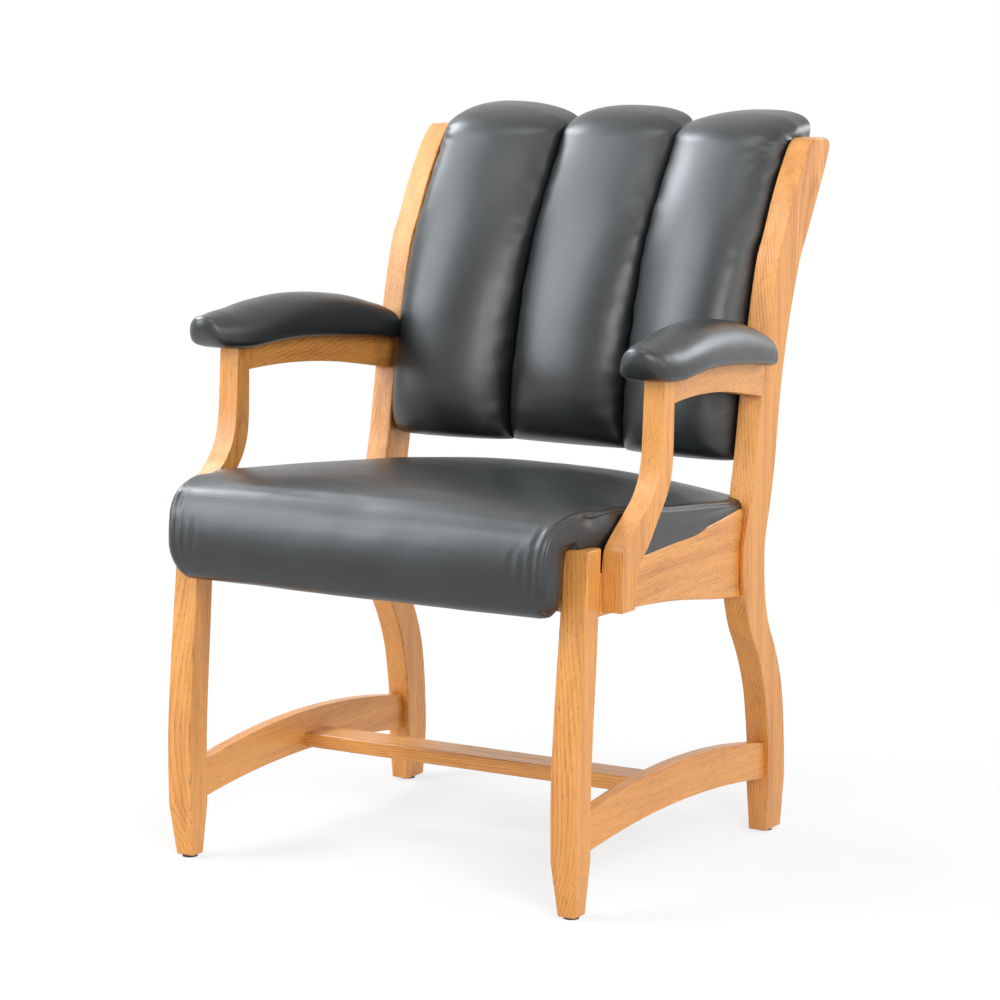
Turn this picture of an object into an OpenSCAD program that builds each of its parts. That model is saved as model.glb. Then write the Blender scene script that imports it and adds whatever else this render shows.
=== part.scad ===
// Guest armchair: an oak frame with bandsawn legs, a padded seat with a deep front roll,
// a back of three upright padded rolls, and padded arms.
// x runs to the right of someone who faces the chair, y runs to the back and z runs up.
// Inside the modules y starts at the front line, which is the front of the front feet.
// The finished chair is centred over the origin and stands on z = 0.

/* [Legs and posts] */
// How far the outer faces of the front legs stand outside the seat cushion
front_leg_out = 4; // [3:0.5:8]
// How far the outer faces of the back posts stand inside those of the front legs
back_post_in = 5; // [3:1:8]
// Height of the front legs above the floor
front_leg_h = 436; // [425:1:445]
// Width of a front leg across the chair
front_leg_w = 35; // [30:1:40]
// Greatest depth of a front leg from front to back
front_leg_d = 37; // [34:1:42]
// How far the top of a front leg stands behind its foot
front_leg_rake = 27; // [15:1:32]
// Height of the back posts above the floor
back_post_h = 878; // [876:1:900]
// Width of a back post across the chair
back_post_w = 32; // [28:1:36]
// Depth of a back post beside the seat, from front to back
back_post_d = 55; // [52:1:60]
// Height of the waist of the back posts, beside the seat
back_post_waist_h = 354; // [340:1:370]
// Distance from the front line to the front of the back posts at their waist
back_post_waist = 420; // [410:1:440]
// How far the foot of a back post stands behind its waist
back_post_kick = 72; // [50:1:85]
// How far the top of a back post leans behind its waist
back_post_lean = 170; // [140:1:190]
// Height of the tapered feet
foot_h = 68; // [50:1:75]
// Width of a front leg at the floor
front_foot_w = 25; // [22:1:30]
// Width of a back leg at the floor
back_foot_w = 24; // [22:1:28]

/* [Seat frame] */
// Thickness of the side rails
side_rail_t = 22; // [20:1:24]
// How far the back ends of the side rails turn inwards
side_rail_toe = 13; // [8:1:16]
// Height of the top edge of a side rail at the front leg
side_rail_front_top = 406; // [402:1:410]
// Height of the top edge of a side rail at the back post
side_rail_back_top = 428; // [424:1:434]
// Height of the bottom edge of a side rail at the front leg
side_rail_front_low = 355; // [345:1:358]
// Height of the bottom edge of a side rail at the back post
side_rail_back_low = 317; // [305:1:330]
// Thickness of the front and rear rails
cross_rail_t = 22; // [18:1:24]
// Height of the front and rear rails, top to bottom
cross_rail_h = 38; // [34:1:42]
// Height of the top of the front and rear rails, where the seat board lies
seat_line = 400; // [398:1:402]
// Thickness of the seat board
seat_board_t = 12; // [9:1:15]
// Height of the corner blocks, top to bottom
corner_block_h = 36; // [28:1:38]
// Thickness of the cloth under the seat
dust_cover_t = 1.5; // [1:0.5:2]

/* [Stretchers] */
// Thickness of the side stretchers
stretcher_t = 16; // [15:1:22]
// Height of a side stretcher at its ends
stretcher_end_h = 46; // [42:1:60]
// Height of a side stretcher in the middle
stretcher_mid_h = 51; // [45:1:64]
// Height of the lower corner of a side stretcher above the floor
stretcher_low = 72; // [69:1:90]
// How far the lower edge of a side stretcher arches up
stretcher_rise = 17; // [0:1:25]
// Thickness of the cross stretcher
cross_stretcher_t = 19; // [16:1:22]
// Width of the cross stretcher from front to back
cross_stretcher_w = 50; // [40:1:60]
// Distance from the front line to the middle of the cross stretcher
cross_stretcher_y = 284; // [240:1:300]

/* [Arms] */
// Width of an arm post across the chair
arm_post_w = 28; // [25:1:32]
// Height of the lower end of an arm post above the floor
arm_post_low_h = 360; // [350:1:364]
// Distance from the front line to the front of an arm post at its lower end
arm_post_y = 58; // [57:1:66]
// How far the top of an arm post stands behind its lower end
arm_post_sweep = 99; // [85:1:110]
// Greatest depth of an arm post, where it turns back
arm_post_d = 60; // [56:1:64]
// Height of the top of an arm post above the floor
arm_post_top = 622; // [610:1:640]
// Width of an arm rail
arm_rail_w = 28; // [24:1:30]
// Height of an arm rail where it meets the back post
arm_rail_h = 41; // [36:1:46]
// Height of the top of an arm rail at the back post
arm_rail_back_top = 606; // [596:1:616]
// Thickness of the board under an arm pad
arm_board_t = 7; // [6:1:9]
// Width of the board under an arm pad
arm_board_w = 56; // [50:1:60]
// Width of an arm pad
arm_pad_w = 84; // [78:1:92]
// Greatest height of an arm pad
arm_pad_h = 60; // [52:1:66]
// How far an arm pad reaches in front of its arm post
arm_pad_reach = 55; // [50:1:70]

/* [Seat cushion] */
// Width of the seat cushion, which the whole frame is built round
seat_w = 578; // [540:1:620]
// How far the front roll of the seat bulges in front of the front line
seat_bulge = 38; // [30:1:45]
// Distance from the front line to the rear edge of the seat cushion
seat_back = 462; // [456:1:468]
// Radius of the front corners of the seat, seen from above
seat_corner_r = 62; // [50:1:70]
// Height of the seat's crown above the floor
seat_crown = 487; // [480:1:495]
// Height of the lower edge of the front roll above the floor
seat_roll_low = 358; // [354:1:360]

/* [Back] */
// Height of the lower edge of the back cushion above the floor
back_low = 482; // [478:1:500]
// How far the top edge of the back frame lies below the tops of the back posts
back_frame_drop = 8; // [4:1:18]
// How far the top of the back rolls rises over the back frame
back_top_roll = 42; // [36:1:50]
// Gap between the back cushion and each back post
back_side_gap = 1; // [0.5:0.5:3]
// How far the outer rolls stand in front of the back posts
outer_roll_proud = 48; // [40:1:55]
// How far the middle roll stands in front of the back posts
middle_roll_proud = 24; // [15:1:50]
// Depth of the back board's face behind the front of the back posts
back_board_set = 34; // [30:1:36]
// Thickness of the back board
back_board_t = 7; // [5:1:9]
// Thickness of the rails and cleats behind the back board
back_frame_t = 16; // [14:1:18]
// Height of the back frame's rails
back_rail_h = 50; // [40:1:60]
// Width of the back cleats
back_cleat_w = 20; // [16:1:24]
// Thickness of the leather-covered panel that closes the back
back_cover_t = 4; // [3:1:6]

/* [Hidden] */

// Clearance round a tenon, dowel or screw, and between a soft piece and its neighbour
fit_gap = 0.3;
soft_gap = 0.5;
// How far a cut runs past the piece that it cuts
overrun = 5;
// Tenons: thickness, bare edge left round them, how deep they reach, and their root
tenon_t = 10;
tenon_bare = 7;
side_tenon_l = 22;
cross_tenon_l = 14;
cross_tenon_t = 10;
cross_tenon_in = 10;
stretcher_tenon_l = 20;
stretcher_tenon_t = 8;
back_tenon_h = 30;
back_tenon_in = 3;
back_tenon_l = 16;
tenon_root = 9;
// How far a shoulder is cut long before it is fitted to the leg or post
shoulder_run = 8;
// How far above and below a screw the lean of the back is taken
lean_step = 8;
// How far the front and rear rails lie inside the faces of the legs
cross_rail_set = 3;
// Corner blocks: reach along each rail, width of the glued face and screw places
block_reach = 86;
block_contact = 42;
block_screw_seat = 12;
block_screw_l = 24;
seat_screw_seat = 18;
seat_screw_l = 26;
board_gap = 1;
// Height of the cross stretcher above the lower edge of the side stretchers
stretcher_bare = 4;
// How far the inner face of an arm post lies inside the outer face of the front leg
arm_post_let_in = 1.5;
arm_post_top_d = 25;
arm_screw_edge = 14;
arm_screw_seat = 14;
arm_screw_l = 34;
arm_dowel_drop = 15;
arm_dowel_pitch = 13;
arm_pad_screw_seat = 13;
arm_pad_screw_l = 18;
pad_screw_shares = [0.22, 0.72];
// How the arm pad ends: gap to the post, lift of the nose, and edge beyond its board
pad_back_gap = 1;
pad_nose_lift = 9;
board_nose_off = 34;
board_back_off = 12;
pad_square = 0.72;
pad_waist_share = 0.34;
// Seat cushion: heights of the side seam, dome, rounding of the edges
seat_seam_front = 470;
seat_seam_back = 430;
seat_dome = 125;
seat_front_round = 62;
seat_side_round = 40;
seat_rear_r = 30;
seat_roll_run = 130;
seat_bow = 4;
crown_power = 2.6;
// Back cushion: depth of a seam behind the front of the posts, its rise at the top, and
// the lower edge that is left under the frame
seam_set = 30;
seam_rise = 14;
back_low_bare = 10;
roll_power = 3;
back_screw_l = 15;
back_screw_shares = [0.25, 0.42, 0.59, 0.76];
// Fasteners and glides
screw_d = 4;
screw_head_d = 8;
screw_head_h = 2.5;
dowel_d = 8;
dowel_l = 30;
glide_d = 19;
glide_t = 3;
glide_pin_d = 3;
glide_pin_l = 14;
// How finely curves are drawn
edge_steps = 3;
arch_steps = 18;
lane_steps = 8;
pad_sides = 20;
corner_steps = 6;
side_steps = 7;
round_fn = 24;

oak = "#d9964f";
oak_inside = "#c98a4a";
plywood = "#d8b98a";
leather = "#4b5051";
leather_dark = "#3c4041";
cloth = "#2a2a2c";
steel = "#a9adb0";
nylon = "#6d5a45";

// Bandsawn outlines. Each row gives a height, the place of the front edge and the depth,
// as shares of the sizes that they follow.
front_leg_shares = [
    [0.00, -0.07, 0.98], [0.22, -0.08, 1.00], [0.42, 0.12, 0.99],
    [0.62, 0.42, 0.95], [0.77, 0.68, 0.87], [0.90, 0.88, 0.82], [1.00, 1.00, 0.79]
];
front_foot_share = [0.26, 0.62];
back_leg_shares = [
    [0.00, 0.98, 0.82], [0.15, 0.98, 0.80], [0.33, 0.89, 0.84], [0.46, 0.77, 0.86],
    [0.60, 0.53, 0.89], [0.73, 0.23, 0.92], [0.87, 0.05, 0.98]
];
back_foot_share = [1.00, 0.76];
back_upper_shares = [
    [0.00, 0.00, 1.00], [0.06, 0.01, 1.00], [0.14, 0.08, 1.00], [0.21, 0.13, 1.00],
    [0.25, 0.16, 0.98], [0.38, 0.23, 0.94], [0.47, 0.29, 0.93], [0.57, 0.36, 0.97],
    [0.66, 0.43, 1.05], [0.73, 0.50, 1.12], [0.78, 0.59, 1.15], [0.85, 0.70, 1.20],
    [0.91, 0.81, 1.20], [0.96, 0.92, 1.11], [0.98, 0.97, 1.01], [0.993, 1.02, 0.80],
    [1.00, 1.07, 0.48]
];
arm_post_shares = [
    [0.00, 0.00, 0.52], [0.09, 0.00, 0.54], [0.17, 0.00, 0.61], [0.23, 0.02, 0.82],
    [0.28, 0.06, 0.98], [0.33, 0.20, 0.92], [0.38, 0.38, 0.80], [0.43, 0.56, 0.68],
    [0.48, 0.72, 0.59], [0.56, 0.86, 0.52], [0.66, 0.93, 0.47], [0.78, 0.96, 0.44],
    [0.90, 0.98, 0.42], [1.00, 1.00, 0.42]
];
// Rows along an arm rail: place, rise of the top over its back end, and height
arm_rail_shares = [
    [0.00, 0.72, 0.74], [0.15, 0.90, 0.80], [0.32, 1.00, 0.87], [0.50, 0.92, 0.92],
    [0.68, 0.68, 0.96], [0.85, 0.34, 0.99], [1.00, 0.00, 1.00]
];
// Heights of the stations that the layers of the back follow, from its lower edge to the top
back_ring_shares = [0.00, 0.06, 0.10, 0.15, 0.22, 0.31, 0.40, 0.50, 0.60, 0.70, 0.80, 0.90, 1.00];
// Rows up the back: a share of the height and how full the rolls are there
back_fill_shares = [
    [0.00, 0.52], [0.03, 0.62], [0.06, 0.73], [0.10, 0.85], [0.15, 0.94], [0.22, 1.00],
    [0.40, 0.97], [0.60, 0.88], [0.80, 0.84], [1.00, 0.84]
];
// Angles of the rings that carry the rolls over the top of the back
back_turns = [14, 28, 42, 56, 70, 84];
// Rows along a side rail: place, rise of the top edge and fall of the bottom edge
side_rail_shares = [
    [0.00, 0.00, 0.00], [0.20, 0.10, 0.08], [0.40, 0.26, 0.22], [0.60, 0.45, 0.44],
    [0.80, 0.70, 0.74], [1.00, 1.00, 1.00]
];

function mix(a, b, t) = a + (b - a) * t;
function bend(p0, p1, p2, p3, t) =
    (2 * p1 + (p2 - p0) * t + (2 * p0 - 5 * p1 + 4 * p2 - p3) * t * t
    + (3 * p1 - p0 - 3 * p2 + p3) * t * t * t) / 2;
function smooth(points, steps) = [
    for (i = [0:len(points) - 2])
        for (k = [0:steps - 1])
            bend(points[max(i - 1, 0)], points[i], points[i + 1],
                points[min(i + 2, len(points) - 1)], k / steps),
    points[len(points) - 1]
];
function backwards(points) = [for (i = [len(points) - 1:-1:0]) points[i]];

// A line of stations [height, front edge, depth], and what it says at a height
function front_at(line, z) = lookup(z, [for (s = line) [s.x, s.y]]);
function back_at(line, z) = lookup(z, [for (s = line) [s.x, s.y + s.z]]);
function outline(line, gap = 0) = concat(
    [for (s = line) [s.y - gap, s.x]],
    [for (s = backwards(line)) [s.y + s.z + gap, s.x]]
);

front_leg_line = concat(
    [[glide_t, front_foot_share.x * front_leg_rake, front_foot_share.y * front_leg_d]],
    smooth([for (s = front_leg_shares)
        [mix(foot_h, front_leg_h, s.x), s.y * front_leg_rake, s.z * front_leg_d]], edge_steps)
);
back_post_line = concat(
    [[glide_t, back_post_waist + back_foot_share.x * back_post_kick,
        back_foot_share.y * back_post_d]],
    smooth(concat(
        [for (s = back_leg_shares) [mix(foot_h, back_post_waist_h, s.x),
            back_post_waist + s.y * back_post_kick, s.z * back_post_d]],
        [for (s = back_upper_shares) [mix(back_post_waist_h, back_post_h, s.x),
            back_post_waist + s.y * back_post_lean, s.z * back_post_d]]), edge_steps)
);
arm_post_line = smooth([for (s = arm_post_shares)
    [mix(arm_post_low_h, arm_post_top, s.x), arm_post_y + s.y * arm_post_sweep,
        s.z * arm_post_d]], edge_steps);

// Places of the frame's pieces
leg_out_x = seat_w / 2 + front_leg_out;
leg_in_x = leg_out_x - front_leg_w;
front_leg_x = (leg_in_x + leg_out_x) / 2;
post_out_x = leg_out_x - back_post_in;
post_in_x = post_out_x - back_post_w;
back_post_x = (post_in_x + post_out_x) / 2;
wide = 2 * leg_out_x;
back_frame_top = back_post_h - back_frame_drop;

rail_mid_z = (side_rail_front_low + side_rail_front_top) / 2;
rail_start = back_at(front_leg_line, rail_mid_z);
rail_end = front_at(back_post_line, rail_mid_z);
rail_toe = atan(side_rail_toe / (rail_end - rail_start));
function rail_out_x(y) = leg_out_x - (y - rail_start) * tan(rail_toe);
function rail_in_x(y) = rail_out_x(y) - side_rail_t / cos(rail_toe);
rail_rows = smooth([for (s = side_rail_shares)
    [s.x * (rail_end - rail_start) / cos(rail_toe),
        mix(side_rail_front_low, side_rail_back_low, s.z),
        mix(side_rail_front_top, side_rail_back_top, s.y)]], edge_steps);

cross_rail_low = seat_line - cross_rail_h;
cross_rail_mid = seat_line - cross_rail_h / 2;
front_rail_y = front_at(front_leg_line, cross_rail_mid) + cross_rail_set;
front_rail_back = front_rail_y + cross_rail_t;
rear_rail_back = back_at(back_post_line, cross_rail_mid) - cross_rail_set;
rear_rail_y = rear_rail_back - cross_rail_t;
block_low = seat_line - corner_block_h;
seat_board_top = seat_line + seat_board_t;

stretcher_x = (front_leg_x + back_post_x) / 2;
stretcher_z = stretcher_low + stretcher_end_h / 2;
stretcher_start = back_at(front_leg_line, stretcher_z);
stretcher_end = front_at(back_post_line, stretcher_z);
function arch(s) = 1 - (2 * s - 1) * (2 * s - 1);
function stretcher_floor(s) = stretcher_low + stretcher_rise * arch(s);
function stretcher_roof(s) =
    stretcher_floor(s) + mix(stretcher_end_h, stretcher_mid_h, arch(s));
cross_stretcher_s = (cross_stretcher_y - stretcher_start) / (stretcher_end - stretcher_start);
cross_stretcher_z = stretcher_floor(cross_stretcher_s) + stretcher_bare;

arm_post_x = leg_out_x - arm_post_let_in + arm_post_w / 2;
arm_front_y = arm_post_y + arm_post_sweep + arm_post_top_d / 2;
arm_back_x = post_out_x - arm_rail_w / 2;
arm_back_y = front_at(back_post_line, arm_rail_back_top - arm_rail_h / 2);
arm_toe = atan((arm_post_x - arm_back_x) / (arm_back_y - arm_front_y));
arm_l = (arm_back_y - arm_front_y) / cos(arm_toe);
arm_arch = (arm_post_top - arm_rail_back_top) / arm_rail_shares[0].y;
arm_rail_rows = smooth([for (s = arm_rail_shares)
    [s.x * arm_l, arm_rail_back_top + s.y * arm_arch - s.z * arm_rail_h,
        arm_rail_back_top + s.y * arm_arch]], edge_steps);
function arm_top(y) = lookup(y, [for (r = arm_rail_rows) [r.x, r.z]]);

// The back follows a line behind the posts, straight from station to station
back_stations = [for (s = back_ring_shares) mix(back_low, back_frame_top, s)];
back_line = [for (z = back_stations) [z, front_at(back_post_line, z)]];
function back_y(z) = lookup(z, back_line);
function back_lean(z) = atan((back_y(z + lean_step) - back_y(z - lean_step)) / (2 * lean_step));
back_slope = (back_y(back_frame_top) - back_y(back_frame_top - back_rail_h)) / back_rail_h;
frame_near = back_board_set + back_board_t;
frame_far = frame_near + back_frame_t;
back_depth = frame_far + back_cover_t;

// Places across the back cushion: the roll, and -1 to 1 from one of its seams to the other
lanes = [for (lane = [-1, 0, 1]) for (i = [(lane == -1 ? 0 : 1):lane_steps])
    [lane, sin(180 * i / lane_steps - 90)]];
back_x = post_in_x - back_side_gap;

// The middle of the whole chair, from its front roll to the rear of its back
front_reach = -seat_bulge;
back_reach = max([for (p = back_ring(back_frame_top + soft_gap, back_depth,
    back_turns[len(back_turns) - 1])) p.y]);
middle_y = (front_reach + back_reach) / 2;

module in_place() {
    translate([0, -middle_y, 0]) children();
}
module on_side(side) {
    mirror([side < 0 ? 1 : 0, 0, 0]) children();
}
// Extrudes an outline of [y, z] points across the chair
module side_slab(points, x, t) {
    translate([x - t / 2, 0, 0]) rotate([90, 0, 90]) linear_extrude(t) polygon(points);
}
// Extrudes an outline of [x, z] points from front to back
module face_slab(points, y, d) {
    translate([0, y + d, 0]) rotate([90, 0, 0]) linear_extrude(d) polygon(points);
}
// Extrudes an outline of [x, y] points upwards
module flat_slab(points, z, h) {
    translate([0, 0, z]) linear_extrude(h) polygon(points);
}
module block(low, high) {
    translate(low) cube(high - low);
}
// The outline between a lower and an upper edge, from rows [y, low, top]
function strip(rows, run = 0) = concat(
    [[rows[0].x - run, rows[0].y]],
    [for (r = rows) [r.x, r.y]],
    [[rows[len(rows) - 1].x + run, rows[len(rows) - 1].y]],
    [[rows[len(rows) - 1].x + run, rows[len(rows) - 1].z]],
    [for (r = backwards(rows)) [r.x, r.z]],
    [[rows[0].x - run, rows[0].z]]
);

// Fasteners. A screw's seat is at the origin, its shank points up and its head down.
module screw(shank, slack = 0, well = 0) {
    cylinder(d = screw_d + 2 * slack, h = shank + slack, $fn = round_fn);
    translate([0, 0, -screw_head_h - well])
        cylinder(d = screw_head_d + 2 * slack, h = screw_head_h + well, $fn = round_fn);
}
module dowel(slack = 0) {
    cylinder(d = dowel_d + 2 * slack, h = dowel_l + 2 * slack, center = true, $fn = round_fn);
}
module glide(slack = 0) {
    cylinder(d = glide_d, h = glide_t, $fn = round_fn);
    cylinder(d = glide_pin_d + 2 * slack, h = glide_t + glide_pin_l + slack, $fn = round_fn);
}

// Legs and posts
module tapered(x, w, foot_w, top) {
    translate([x, 0, 0]) face_slab([
        [-foot_w / 2, 0], [foot_w / 2, 0], [w / 2, foot_h], [w / 2, top],
        [-w / 2, top], [-w / 2, foot_h]
    ], -overrun - front_leg_rake, 2 * (back_post_waist + back_post_lean));
}
module front_leg_solid() {
    intersection() {
        side_slab(outline(front_leg_line), front_leg_x, front_leg_w);
        tapered(front_leg_x, front_leg_w, front_foot_w, front_leg_h);
    }
}
module back_post_solid() {
    intersection() {
        side_slab(outline(back_post_line), back_post_x, back_post_w);
        tapered(back_post_x, back_post_w, back_foot_w, back_post_h);
    }
}
module front_leg(side) {
    color(oak) in_place() on_side(side) difference() {
        front_leg_solid();
        side_rail_tenon(true, fit_gap);
        cross_rail_tenon(leg_in_x, front_rail_y, fit_gap);
        stretcher_tenon(true, fit_gap);
        at_front_glide() glide(fit_gap);
    }
}
module back_post(side) {
    color(oak) in_place() on_side(side) difference() {
        back_post_solid();
        side_rail_tenon(false, fit_gap);
        cross_rail_tenon(post_in_x, rear_rail_y, fit_gap);
        stretcher_tenon(false, fit_gap);
        back_rail_tenon(back_top_rail_z, fit_gap);
        back_rail_tenon(back_low_rail_z, fit_gap);
        at_arm_back_dowels() dowel(fit_gap);
        at_back_glide() glide(fit_gap);
    }
}

// Seat frame
module rail_frame() {
    translate([leg_out_x, rail_start, 0]) rotate([0, 0, rail_toe]) children();
}
module side_rail_tenon(front, slack) {
    l = rail_rows[len(rail_rows) - 1].x;
    mid = -side_rail_t / 2;
    half = tenon_t / 2 + slack;
    rail_frame()
        if (front)
            block([mid - half, -side_tenon_l - slack, side_rail_front_low + tenon_bare - slack],
                [mid + half, tenon_root, side_rail_front_top - tenon_bare + slack]);
        else
            block([mid - half, l - tenon_root, side_rail_back_low + tenon_bare - slack],
                [mid + half, l + side_tenon_l + slack, side_rail_back_top - tenon_bare + slack]);
}
module side_rail_body() {
    difference() {
        rail_frame() side_slab(strip(rail_rows, shoulder_run), -side_rail_t / 2, side_rail_t);
        side_slab(outline(front_leg_line), front_leg_x, wide);
        side_slab(outline(back_post_line), back_post_x, wide);
    }
}
module side_rail(side) {
    color(oak) in_place() on_side(side) difference() {
        union() {
            side_rail_body();
            side_rail_tenon(true, 0);
            side_rail_tenon(false, 0);
        }
        at_arm_post_screws() screw(arm_screw_l, fit_gap, side_rail_t);
        at_block_side_screw(true) screw(block_screw_l, fit_gap);
        at_block_side_screw(false) screw(block_screw_l, fit_gap);
    }
}
module cross_rail_tenon(x, y, slack) {
    mid = y + cross_rail_t / 2;
    half = tenon_t / 2 + slack;
    block([x - tenon_root, mid - half, cross_rail_low + tenon_bare - slack],
        [x + cross_tenon_l + slack, mid + half, seat_line - tenon_bare + slack]);
}
module cross_rail(x, y) {
    difference() {
        union() {
            block([-x, y, cross_rail_low], [x, y + cross_rail_t, seat_line]);
            for (side = [-1, 1])
                on_side(side) cross_rail_tenon(x, y, 0);
        }
        for (side = [-1, 1], front = [true, false])
            on_side(side) at_block_cross_screw(front) screw(block_screw_l, fit_gap);
    }
}
module front_rail() {
    color(oak_inside) in_place() cross_rail(leg_in_x, front_rail_y);
}
module rear_rail() {
    color(oak) in_place() cross_rail(post_in_x, rear_rail_y);
}

// A corner block lies against a cross rail and a side rail
function corner_sign(front) = front ? 1 : -1;
function corner_wall(front) = front ? front_rail_back : rear_rail_y;
function corner_y(front, reach) = corner_wall(front) + corner_sign(front) * reach;
function corner_points(front) = [
    [rail_in_x(corner_wall(front)) - block_reach, corner_wall(front)],
    [rail_in_x(corner_wall(front)) - block_reach + block_contact, corner_wall(front)],
    [rail_in_x(corner_y(front, block_reach - block_contact)),
        corner_y(front, block_reach - block_contact)],
    [rail_in_x(corner_y(front, block_reach)), corner_y(front, block_reach)]
];
module at_block_side_screw(front) {
    y = corner_y(front, block_reach - block_contact / 2);
    translate([rail_in_x(y) - block_screw_seat, y, block_low + corner_block_h / 2])
        rotate([0, 90, 0]) children();
}
module at_block_cross_screw(front) {
    x = rail_in_x(corner_wall(front)) - block_reach + block_contact / 2;
    translate([x, corner_y(front, block_screw_seat), block_low + corner_block_h / 2])
        rotate([corner_sign(front) * 90, 0, 0]) children();
}
module at_seat_screw(front) {
    p = corner_points(front);
    c = (p[0] + p[1] + p[2] + p[3]) / len(p);
    translate([c.x, c.y, seat_line - seat_screw_seat]) children();
}
module corner_block(side, front) {
    color(oak_inside) in_place() on_side(side) difference() {
        flat_slab(corner_points(front), block_low, corner_block_h);
        at_block_side_screw(front) screw(block_screw_l, fit_gap, block_reach);
        at_block_cross_screw(front) screw(block_screw_l, fit_gap, block_reach);
        at_seat_screw(front) screw(seat_screw_l, fit_gap, corner_block_h);
    }
}
module corner_screws() {
    color(steel) in_place() for (side = [-1, 1], front = [true, false]) on_side(side) {
        at_block_side_screw(front) screw(block_screw_l);
        at_block_cross_screw(front) screw(block_screw_l);
    }
}
module seat_screws() {
    color(steel) in_place() for (side = [-1, 1], front = [true, false])
        on_side(side) at_seat_screw(front) screw(seat_screw_l);
}
module seat_board() {
    rim = [
        [leg_in_x - board_gap, front_rail_y],
        [leg_in_x - board_gap, rail_start + board_gap],
        [rail_in_x(rail_start) - board_gap, rail_start + board_gap],
        [rail_in_x(rail_end) - board_gap, rail_end - board_gap],
        [post_in_x - board_gap, rail_end - board_gap],
        [post_in_x - board_gap, rear_rail_back - board_gap]
    ];
    color(plywood) in_place() difference() {
        flat_slab(concat(rim, [for (p = backwards(rim)) [-p.x, p.y]]), seat_line, seat_board_t);
        for (side = [-1, 1], front = [true, false])
            on_side(side) at_seat_screw(front) screw(seat_screw_l, fit_gap);
    }
}
module seat_dust_cover() {
    front = front_rail_back + fit_gap;
    rear = rear_rail_y - fit_gap;
    rim = [
        [leg_in_x - board_gap, front],
        [leg_in_x - board_gap, rail_start + board_gap],
        [rail_in_x(rail_start) - fit_gap, rail_start + board_gap],
        [rail_in_x(rail_end) - fit_gap, rail_end - board_gap],
        [post_in_x - board_gap, rail_end - board_gap],
        [post_in_x - board_gap, rear]
    ];
    color(cloth) in_place()
        flat_slab(concat(rim, [for (p = backwards(rim)) [-p.x, p.y]]),
            block_low - dust_cover_t, dust_cover_t);
}

// Stretchers
module stretcher_tenon(front, slack) {
    half = stretcher_tenon_t / 2 + slack;
    low = stretcher_low + tenon_bare - slack;
    high = stretcher_low + stretcher_end_h - tenon_bare + slack;
    if (front)
        block([stretcher_x - half, stretcher_start - stretcher_tenon_l - slack, low],
            [stretcher_x + half, stretcher_start + tenon_root, high]);
    else
        block([stretcher_x - half, stretcher_end - tenon_root, low],
            [stretcher_x + half, stretcher_end + stretcher_tenon_l + slack, high]);
}
module cross_stretcher_tenon(slack) {
    x = stretcher_x - stretcher_t / 2;
    low = cross_stretcher_z + cross_stretcher_t / 2;
    half_h = cross_tenon_t / 2 + slack;
    half_w = cross_stretcher_w / 2 - tenon_bare + slack;
    block([x - tenon_root, cross_stretcher_y - half_w, low - half_h],
        [x + cross_tenon_in + slack, cross_stretcher_y + half_w, low + half_h]);
}
module side_stretcher(side) {
    rows = [for (i = [0:arch_steps]) let (s = i / arch_steps)
        [mix(stretcher_start, stretcher_end, s), stretcher_floor(s), stretcher_roof(s)]];
    color(oak) in_place() on_side(side) difference() {
        union() {
            difference() {
                side_slab(strip(rows, shoulder_run), stretcher_x, stretcher_t);
                side_slab(outline(front_leg_line), front_leg_x, wide);
                side_slab(outline(back_post_line), back_post_x, wide);
            }
            stretcher_tenon(true, 0);
            stretcher_tenon(false, 0);
        }
        cross_stretcher_tenon(fit_gap);
    }
}
module cross_stretcher() {
    x = stretcher_x - stretcher_t / 2;
    color(oak) in_place() union() {
        block([-x, cross_stretcher_y - cross_stretcher_w / 2, cross_stretcher_z],
            [x, cross_stretcher_y + cross_stretcher_w / 2,
                cross_stretcher_z + cross_stretcher_t]);
        for (side = [-1, 1])
            on_side(side) cross_stretcher_tenon(0);
    }
}

// Arms
module arm_frame() {
    translate([arm_post_x, arm_front_y, 0]) rotate([0, 0, arm_toe]) children();
}
module at_arm_post_screws() {
    y = (arm_post_y + back_at(arm_post_line, arm_post_low_h)) / 2;
    for (z = [arm_post_low_h + arm_screw_edge, side_rail_front_top - arm_screw_edge])
        translate([rail_out_x(y) - arm_screw_seat, y, z]) rotate([0, 90, 0]) children();
}
module at_arm_front_dowels() {
    y = back_at(arm_post_line, arm_post_top) - arm_front_y;
    arm_frame() for (k = [-1, 1])
        translate([0, y, arm_top(0) - arm_dowel_drop + k * arm_dowel_pitch / 2])
            rotate([90, 0, 0]) children();
}
module at_arm_back_dowels() {
    arm_frame() for (k = [-1, 1])
        translate([0, arm_l, arm_rail_back_top - arm_rail_h / 2 + k * arm_dowel_pitch / 2])
            rotate([90, 0, 0]) children();
}
module at_arm_pad_screws() {
    arm_frame() for (s = pad_screw_shares)
        translate([0, s * arm_l, arm_top(s * arm_l) - arm_pad_screw_seat]) children();
}
module arm_post(side) {
    color(oak) in_place() on_side(side) difference() {
        side_slab(outline(arm_post_line), arm_post_x, arm_post_w);
        side_rail_body();
        at_arm_post_screws() screw(arm_screw_l, fit_gap);
        at_arm_front_dowels() dowel(fit_gap);
    }
}
module arm_rail(side) {
    color(oak) in_place() on_side(side) difference() {
        arm_frame() side_slab(strip(arm_rail_rows, shoulder_run), 0, arm_rail_w);
        side_slab(outline(arm_post_line), arm_post_x, wide);
        block([0, 0, arm_post_top], [wide, back_at(arm_post_line, arm_post_top), back_post_h]);
        side_slab(outline(back_post_line), back_post_x, wide);
        at_arm_front_dowels() dowel(fit_gap);
        at_arm_back_dowels() dowel(fit_gap);
        at_arm_pad_screws() screw(arm_pad_screw_l, fit_gap, arm_rail_h);
    }
}
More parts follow.
